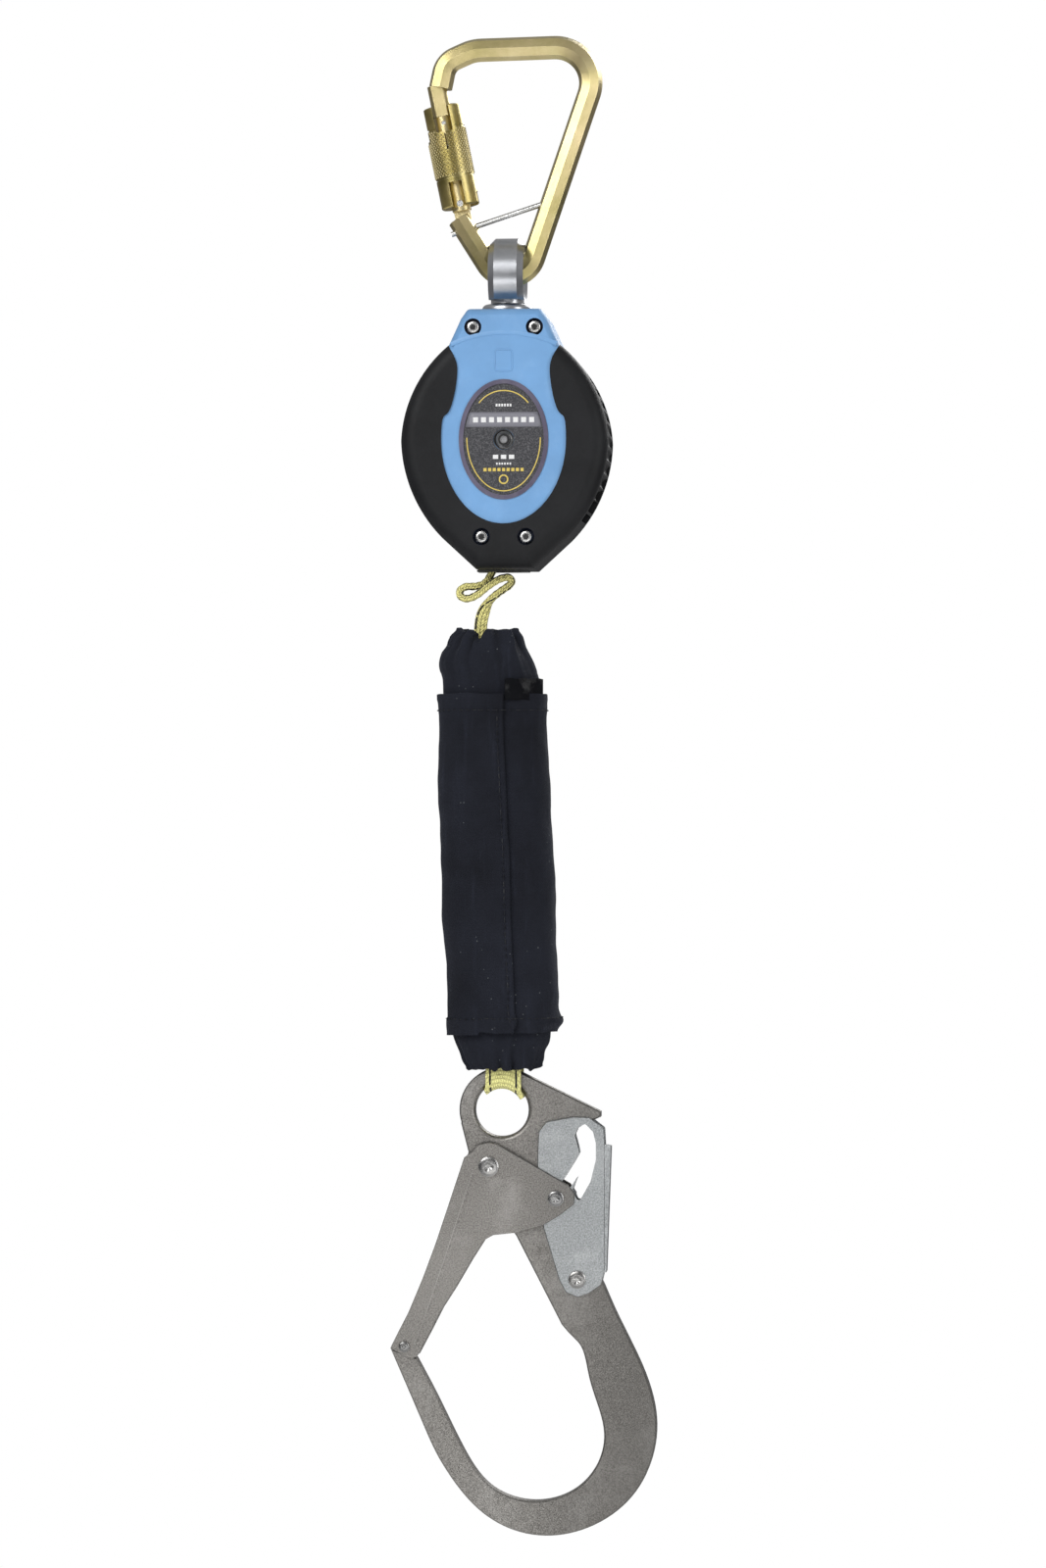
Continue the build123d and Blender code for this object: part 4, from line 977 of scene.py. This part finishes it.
class LIFELINE_OT_sleeve(bpy.types.Operator):
    """The gathered cloth sleeve of the energy absorber"""
    bl_idname = "lifeline.sleeve"
    bl_label = "Absorber sleeve"

    def execute(self, context):
        sizes = context.scene.lifeline_sizes
        fold = sizes.fold_depth / MM
        columns = 176
        heights = [SLEEVE_TOP - 0.9 * k for k in range(36)] + [-313.0 - 6.0 * k for k in range(1, 26)]
        heights += [-466.0 - 1.0 * k for k in range(27)] + [SLEEVE_LOW]
        inside_top = [(-290.0, 0.30), (-286.0, 0.42), (-282.0, 0.60), (-279.9, 0.78), (-279.3, 0.90)]
        inside_low = [(-493.9, 0.955), (-493.6, 0.90), (-492.2, 0.85), (-489.5, 0.80), (-486.0, 0.76)]

        def point(i, j):
            theta = 2 * math.pi * j / columns
            if i < len(inside_top):
                z, shrink = inside_top[i]
                rim = sleeve_point(theta, SLEEVE_TOP, fold)
                share = (0.90 - shrink) / 0.6
                middle = -11.0 * (1 - share) - 14.5 * share
                return Vector((middle + (rim.x + 11.0) * shrink, rim.y * shrink, z + (rim.z - SLEEVE_TOP) * shrink))
            i -= len(inside_top)
            if i < len(heights):
                return sleeve_point(theta, heights[i], fold)
            z, shrink = inside_low[i - len(heights)]
            rim = sleeve_point(theta, SLEEVE_LOW, fold)
            x0 = -2.5
            return Vector((x0 + (rim.x - x0) * shrink, rim.y * shrink, z + (rim.z - SLEEVE_LOW) * shrink))

        # painted shade for the pleats of the sleeve
        def crease(i, j):
            i = min(max(i - len(inside_top), 0), len(heights) - 1)
            return crease_shade_depth(2 * math.pi * j / columns, heights[i])

        rows = len(inside_top) + len(heights) + len(inside_low)
        piece, area = sheet_grid("gathered_sleeve", point, columns, rows, True, sizes.cloth_thickness * 0.8,
                                 "cloth_black", crease)
        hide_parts("absorber_sleeve")
        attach(piece, "absorber")
        return {"FINISHED"}


class LIFELINE_OT_wrap(bpy.types.Operator):
    """The outer cloth wrap with its overlap, hems and closing tab"""
    bl_idname = "lifeline.wrap"
    bl_label = "Absorber wrap"

    def execute(self, context):
        sizes = context.scene.lifeline_sizes
        columns = 190
        heights = [WRAP_TOP, -311.0, -311.8] + [-313.0 - 2.0 * k for k in range(78)]
        heights += [-468.2 - 0.9 * k for k in range(8)] + [-475.2, WRAP_LOW]

        def point(i, j):
            turn = OVERLAP * j / (columns - 1)
            lift = 0.55 if i < 6 or i > len(heights) - 10 else 0.0
            if 4 <= i <= 6:
                lift = 0.2
            return wrap_point(turn, heights[i], lift)

        piece, area = sheet_grid("outer_wrap", point, columns, len(heights), False, sizes.cloth_thickness,
                                 "cloth_black")
        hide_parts("absorber_wrap")
        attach(piece, "absorber")

        def tab(i, j):
            x = -0.6 + 17.6 * j / 23
            z = -303.2 - 10.4 * i / 11 + 0.25 * math.sin(x)
            x0, half_width, half_depth = between_rows(SLEEVE_ROWS, z)
            reach = min(0.93, abs(x - x0) / (half_width + 1.4))
            y = -(half_depth + 1.9) * (1 - reach ** 2.3) ** (1 / 2.3)
            return Vector((x, y - 1.3, z))

        piece, area = sheet_grid("closing_tab", tab, 24, 12, False, 1.6 * MM, "hook_tape")
        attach(piece, "absorber")
        return {"FINISHED"}


class LIFELINE_OT_stitches(bpy.types.Operator):
    """Hem stitches around the wrap and down its overlap"""
    bl_idname = "lifeline.stitches"
    bl_label = "Stitches"

    def execute(self, context):
        pitch = context.scene.lifeline_sizes.stitch_pitch / MM
        places = []
        seams = [[wrap_point(OVERLAP * k / 600, z) for k in range(601)] for z in (-318.6, -468.6)]
        seams.append([wrap_point(OVERLAP - 0.016, -316.0 - 0.5 * k) for k in range(312)])
        for seam in seams:
            gone = 0.0
            for a, b in zip(seam, seam[1:]):
                gone += (b - a).length
                if gone >= pitch:
                    gone = 0.0
                    places.append(self.place(a, b))
        piece = scatter("wrap_stitches", stitch_shape(pitch * 0.76, 0.62), places, "thread_black")
        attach(piece, "absorber")
        return {"FINISHED"}

    @staticmethod
    def place(a, b):
        middle = (a + b) / 2
        out = Vector((middle.x + 3.0, middle.y * 1.6, 0.0)).normalized()
        along = (b - a).normalized()
        return ((middle + out * 0.25) * MM, out, along)


class LIFELINE_OT_loop(bpy.types.Operator):
    """The flat webbing loop between the absorber and the hook"""
    bl_idname = "lifeline.loop"
    bl_label = "Hook loop"

    def execute(self, context):
        half, columns = 8.9, 25
        eye_x, eye_z, eye_radius = -3.6, -514.0, 11.3
        strand_y, top, turn = 7.6, -484.0, 3.4
        straight, bend, across = 16, 8, 8

        def point(i, j):
            u = -half + 2 * half * j / (columns - 1)
            low = eye_z + math.sqrt(eye_radius ** 2 - min(10.0, abs(u - 2.6 - eye_x)) ** 2)
            pinch = 1 - 0.035 * math.sin(math.pi * min(1.0, i / 20))
            bulge = 0.12 * math.sin(i * 2.9) * (abs(u) < 7)
            back = i > straight + bend + across     # the rear strand mirrors the front one
            k = rows - 1 - i if back else i
            if k < straight + back:
                y, z = -strand_y + bulge, top + (low + turn - top) * k / straight
            elif k < straight + bend:
                angle = math.pi / 2 * (k - straight) / bend
                y, z = -strand_y + turn * (1 - math.cos(angle)), low + turn - turn * math.sin(angle)
            else:
                share = (k - straight - bend) / across
                y, z = (-strand_y + turn) * (1 - 2 * share), low
            return Vector((-2.6 + u * pinch, -y if back else y, z))

        rows = 2 * (straight + bend) + across + 1
        verts = [point(i, j) * MM for i in range(rows) for j in range(columns)]
        faces, _ = grid_faces(rows, columns, False, False)
        gone = run_lengths(verts[columns // 2::columns])
        uvs = [((-half + 2 * half * (index % columns) / (columns - 1)) * MM, gone[index // columns])
               for face in faces for index in face]
        mesh = mesh_from("hook_webbing", verts, faces, uvs)
        piece = new_object("hook_webbing", mesh)
        dress(piece, "webbing_yellow")
        thicken(piece, 1.9 * MM)
        edge = piece.modifiers.new("edge", "BEVEL")
        edge.width = 0.55 * MM
        edge.segments = 2
        edge.limit_method = "ANGLE"
        apply_modifiers(piece)
        recalc(piece.data)
        smooth_all(piece.data)
        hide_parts("hook_loop")
        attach(piece, "absorber")
        return {"FINISHED"}


class LIFELINE_OT_knurl(bpy.types.Operator):
    """Diamond knurling between the grooves of the lock sleeve"""
    bl_idname = "lifeline.knurl"
    bl_label = "Sleeve knurling"

    def execute(self, context):
        pitch = context.scene.lifeline_sizes.knurl_pitch / MM
        hinge = Vector((-24.1, 0.0, -70.5))
        axis = Vector((-0.19937, 0.0, 0.97992))
        right = Vector((0.97992, 0.0, 0.19937))
        front = Vector((0.0, -1.0, 0.0))
        radius = 9.5
        low, high = 14.0, 36.8
        rows = int((high - low) / (pitch * 0.62))
        around = int(2 * math.pi * radius / pitch)
        places = []
        for i in range(rows):
            w = low + (high - low) * (i + 0.5) / rows
            for j in range(around):
                angle = 2 * math.pi * (j + 0.5 * (i % 2)) / around
                across, ahead = math.cos(angle), math.sin(angle)
                out = right * across + front * ahead
                in_slot = any(facing > 0 and radius * abs(offset) < half_slot and w > foot
                              for facing, offset, half_slot, foot in (
                                  (ahead, across, 4.9, 34.4), (ahead, across, 1.0, 25.8),
                                  (-across, ahead, 4.9, 31.8)))
                if not in_slot:
                    places.append(((hinge + axis * w + out * (radius - 0.05)) * MM, out, axis))
        wide, tall, rise = pitch * 0.42, pitch * 0.52, 0.5
        corners = [(tall, 0, 0), (0, wide, 0), (-tall, 0, 0), (0, -wide, 0)]
        verts = [Vector((x, y, -0.1)) * MM for x, y, _ in corners]
        verts += [Vector((x * 0.15, y * 0.15, rise)) * MM for x, y, _ in corners]
        faces = [(k, (k + 1) % 4, 4 + (k + 1) % 4, 4 + k) for k in range(4)] + [(4, 5, 6, 7), (3, 2, 1, 0)]
        shape = mesh_from("diamond", verts, faces, smooth=False)
        recalc(shape)
        # the diamonds take the lighter steel_yellow; the darker sleeve between them is painted shade in the grooves
        piece = scatter("sleeve_knurl", shape, places, "steel_yellow")
        smooth_all(piece.data, False)
        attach(piece, "lock_sleeve")
        return {"FINISHED"}


class LIFELINE_OT_label(bpy.types.Operator):
    """Plain printed shapes on both labels"""
    bl_idname = "lifeline.label"
    bl_label = "Label print"

    def execute(self, context):
        x0, z0, face = label_centre()
        shapes = [self.band(x0, z0, face)]
        for name, spots in (("print_arc_top", oval((x0, z0 + 8.0), 15.2, 15.7, 38, 142, 40)),
                            ("print_arc_low", oval((x0, z0 + 0.8), 17.9, 25.8, 180, 360, 64))):
            shapes.append(bead(name, spots, 0.55, 0.1, "print_yellow", face))
        for name, z, count, wide, tall, gap, ink in (
                ("print_row_top", 16.6, 6, 0.9, 1.3, 0.45, "print_white"),
                ("print_row_band", 9.5, 8, 2.4, 2.5, 1.5, "print_white"),
                ("print_row_mid", -8.5, 3, 2.6, 2.0, 1.3, "print_white"),
                ("print_row_small", -11.8, 6, 0.8, 1.0, 0.5, "print_white"),
                ("print_row_low", -14.7, 9, 1.5, 1.6, 0.75, "print_yellow")):
            shapes.append(self.blocks(name, x0, z0 + z, face - 0.09, count, wide, tall, gap, ink))
        shapes.append(bead("print_ring", oval((x0, z0 - 19.4), 2.0, 2.0, 0, 360 - 360 / 32, 32), 0.7, 0.1,
                           "print_yellow", face, True))
        for piece in shapes:
            on_both_faces(piece)
        return {"FINISHED"}

    @staticmethod
    def blocks(name, x0, z, y, count, wide, tall, gap, ink):
        """A row of plain blocks."""
        verts = []
        faces = []
        start = x0 - (count * wide + (count - 1) * gap) / 2
        for k in range(count):
            left = start + k * (wide + gap)
            base = len(verts)
            verts += [Vector((x, y, z + up)) * MM for x, up in (
                (left, -tall / 2), (left + wide, -tall / 2), (left + wide, tall / 2), (left, tall / 2))]
            faces.append((base, base + 1, base + 2, base + 3))
        return LIFELINE_OT_label.inked(name, mesh_from(name, verts, faces, smooth=False), ink, 0.04)

    @staticmethod
    def band(x0, z0, face):
        """A pale band that ends at the label's oval edge."""
        verts = []
        for z in (13.2, 11.4, 9.6, 7.8, 6.0):
            reach = 19.0 * math.sqrt(1 - (z / 26.6) ** 2)
            for k in range(13):
                verts.append(Vector((x0 - reach + 2 * reach * k / 12, face - 0.05, z0 + z)) * MM)
        faces, uvs = grid_faces(5, 13, False, False)
        return LIFELINE_OT_label.inked("print_band", mesh_from("print_band", verts, faces, uvs), "band", 0.05)

    @staticmethod
    def inked(name, mesh, ink, thickness):
        """A printed shape, given the thickness of its ink."""
        piece = new_object(name, mesh, ink)
        thicken(piece, thickness * MM)
        apply_modifiers(piece)
        recalc(piece.data)
        return piece


class LIFELINE_OT_centre(bpy.types.Operator):
    """Painted shade in the holes: a dark liner in the label's centre hole, dark wells and discs in the screw
    recesses; and the bright socket deep inside the centre hole
    """
    bl_idname = "lifeline.centre"
    bl_label = "Centre hole"

    def execute(self, context):
        x, z, face = label_centre()
        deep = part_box("centre_screw")[0].y / MM
        depth = deep - face
        # painted shade: a dark liner round the wall of the centre hole
        liner = lathe("hole_liner", [(4.85, 0.02), (4.82, -0.12), (4.45, -0.05), (4.2, 0.5), (4.05, depth - 0.1),
                                     (4.6, depth - 0.05), (4.85, depth - 0.3)],
                      Vector((x, face, z)) * MM, (0, 1, 0), 48, ends=False)
        socket = lathe("centre_socket", [(1.9, 0.0), (1.9, -0.55), (1.7, -0.75), (1.25, -0.75), (1.1, -0.6),
                                         (1.1, -0.1), (0.02, -0.1)],
                       Vector((x, deep, z)) * MM, (0, 1, 0), 36)
        wells, rims, recesses = [], [], []
        for x_screw, z_screw in SCREW_SPOTS:
            seat = Vector((x_screw, SCREW_SEAT_Y, z_screw)) * MM
            head = Vector((x_screw, SCREW_HEAD_Y, z_screw)) * MM
            # painted shade: a dark well lining each screw recess
            wells.append(lathe("well", [(2.85, 0.0), (2.85, -0.3), (3.6, -0.35), (3.95, -0.9), (4.12, -2.6),
                                        (4.17, -2.6), (4.17, 0.0)], seat, (0, 1, 0), 40, ends=False))
            rims.append(lathe("rim", [(1.5, 0.1), (1.5, -0.12), (1.62, -0.26), (2.35, -0.30), (2.68, -0.08),
                                      (2.70, 0.1)], head, (0, 1, 0), 36, ends=False))
            # painted shade: a flat dark disc over each screw's socket
            recesses.append(lathe("recess", [(1.52, 0.02), (1.52, -0.05), (0.02, -0.03)], head, (0, 1, 0), 6))
        for mesh, finish in ((liner, "hole_shade_steel"), (socket, "screw_steel"),
                             (join_meshes("screw_wells", wells), "well_painted_shade"),
                             (join_meshes("screw_rims", rims), "pin_steel"),
                             (join_meshes("screw_recess", recesses), "hole_shade_steel")):
            piece = new_object(mesh.name, mesh, finish)
            smooth_by_angle(mesh, 40)
            on_both_faces(piece)
        return {"FINISHED"}


class LIFELINE_OT_cover_lines(bpy.types.Operator):
    """The shallow step below the neck of each cover and its plain raised mark"""
    bl_idname = "lifeline.cover_lines"
    bl_label = "Cover lines"

    def execute(self, context):
        face, middle = -24.98, -1.0
        arc = [(middle + x, -135.6 - x * x / 118.0) for x in (-25.6 + 51.2 * k / 48 for k in range(49))]
        step = bead("neck_step", arc, 2.2, 0.42, "cover_blue", face, slope=-0.85)
        ring = []
        for quarter, (x, z) in enumerate(((2.6, 3.6), (-2.6, 3.6), (-2.6, -3.6), (2.6, -3.6))):
            ring += oval((middle + x, -149.0 + z), 1.6, 1.6, 90 * quarter, 90 * quarter + 90, 7)
        mark = bead("plain_mark", ring, 0.8, 0.32, "cover_blue", face, True)
        for piece in (step, mark):
            on_both_faces(piece)
        return {"FINISHED"}


class LIFELINE_OT_rivets(bpy.types.Operator):
    """Staked ends of the hook's rivets, each with three pressed facets"""
    bl_idname = "lifeline.rivets"
    bl_label = "Rivet ends"

    def execute(self, context):
        for node, body, radius, dimple in (
                ("gate_pivot_rivet", "hook_gate", 4.9, 2.3), ("gate_stud", "hook_gate", 3.9, 1.7),
                ("tip_rivet", "hook_gate", 2.7, 1.0), ("lever_rivet", "lock_lever", 4.3, 2.1)):
            low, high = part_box(node)
            x = (low.x + high.x) / 2
            z = (low.z + high.z) / 2
            for side, face in ((-1, low.y), (1, high.y)):
                mesh = self.cap(node, Vector((x, face, z)), side, radius, dimple)
                piece = new_object(node + ("_front" if side < 0 else "_rear"), mesh)
                dress(piece, "rivet_steel")
                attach(piece, body)
        return {"FINISHED"}

    @staticmethod
    def cap(name, centre, side, radius, dimple):
        rings, segments = 26, 60
        verts = []
        for i in range(rings):
            r = radius * (1 - i / rings)
            for j in range(segments):
                angle = 2 * math.pi * j / segments
                rim = 1 - (r / radius) ** 6
                height = 0.62 * rim * (0.86 + 0.14 * (1 - (r / radius) ** 2))
                facet = max(0.0, 1 - r / (dimple * (0.72 + 0.42 * abs(math.cos(1.5 * angle)))))
                height -= min(0.75, 1.2 * facet) * 0.75
                verts.append(centre + Vector((r * math.cos(angle), side * height, r * math.sin(angle))) * MM)
        faces, _ = grid_faces(rings, segments)
        faces.append(tuple((rings - 1) * segments + j for j in range(segments)))
        faces.append(tuple(range(segments - 1, -1, -1)))
        mesh = mesh_from(name + "_cap", verts, faces)
        recalc(mesh)
        smooth_by_angle(mesh, 35)
        return mesh


class LIFELINE_OT_crease(bpy.types.Operator):
    """The pressed crease that runs along the hook's gate, front and rear"""
    bl_idname = "lifeline.crease"
    bl_label = "Gate crease"

    def execute(self, context):
        low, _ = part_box("hook_gate")
        run = [(-17.2 - 28.2 * k / 30, -545.0 - 84.5 * k / 30 - 1.4 * math.sin(math.pi * k / 30)) for k in range(31)]
        front = bead("gate_crease_front", run, 2.2, 0.45, "hook_steel", low.y / MM + 0.04, slope=0.8)
        rear = front.data.copy()
        rear.transform(Matrix.Diagonal((1.0, -1.0, 1.0, 1.0)))
        rear.flip_normals()
        for piece in (front, new_object("gate_crease_rear", rear)):
            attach(piece, "hook_gate")
        return {"FINISHED"}


class LIFELINE_PT_panel(bpy.types.Panel):
    """Pieces of the lifeline, in the order they are made"""
    bl_idname = "LIFELINE_PT_panel"
    bl_label = "Self retracting lifeline"
    bl_space_type = "VIEW_3D"
    bl_region_type = "UI"
    bl_category = "Lifeline"

    def draw(self, context):
        layout = self.layout
        for group in (context.scene.lifeline_colours, context.scene.lifeline_sizes, context.scene.lifeline_stage):
            box = layout.box()
            for key in group.__annotations__:
                box.prop(group, key)
        for operator in OPERATORS:
            layout.operator(operator.bl_idname)


OPERATORS = (
    LIFELINE_OT_stage, LIFELINE_OT_finishes, LIFELINE_OT_line, LIFELINE_OT_sleeve, LIFELINE_OT_wrap,
    LIFELINE_OT_stitches, LIFELINE_OT_loop, LIFELINE_OT_knurl, LIFELINE_OT_label, LIFELINE_OT_centre,
    LIFELINE_OT_cover_lines, LIFELINE_OT_rivets, LIFELINE_OT_crease,
)
CLASSES = (LifelineColours, LifelineSizes, LifelineStage) + OPERATORS + (LIFELINE_PT_panel,)


def register():
    for item in CLASSES:
        bpy.utils.register_class(item)
    bpy.types.Scene.lifeline_colours = bpy.props.PointerProperty(type=LifelineColours)
    bpy.types.Scene.lifeline_sizes = bpy.props.PointerProperty(type=LifelineSizes)
    bpy.types.Scene.lifeline_stage = bpy.props.PointerProperty(type=LifelineStage)


def unregister():
    del bpy.types.Scene.lifeline_colours
    del bpy.types.Scene.lifeline_sizes
    del bpy.types.Scene.lifeline_stage
    for item in reversed(CLASSES):
        bpy.utils.unregister_class(item)


def main():
    register()
    for operator in OPERATORS:
        getattr(bpy.ops.lifeline, operator.bl_idname.split(".")[1])()


if __name__ == "__main__":
    main()
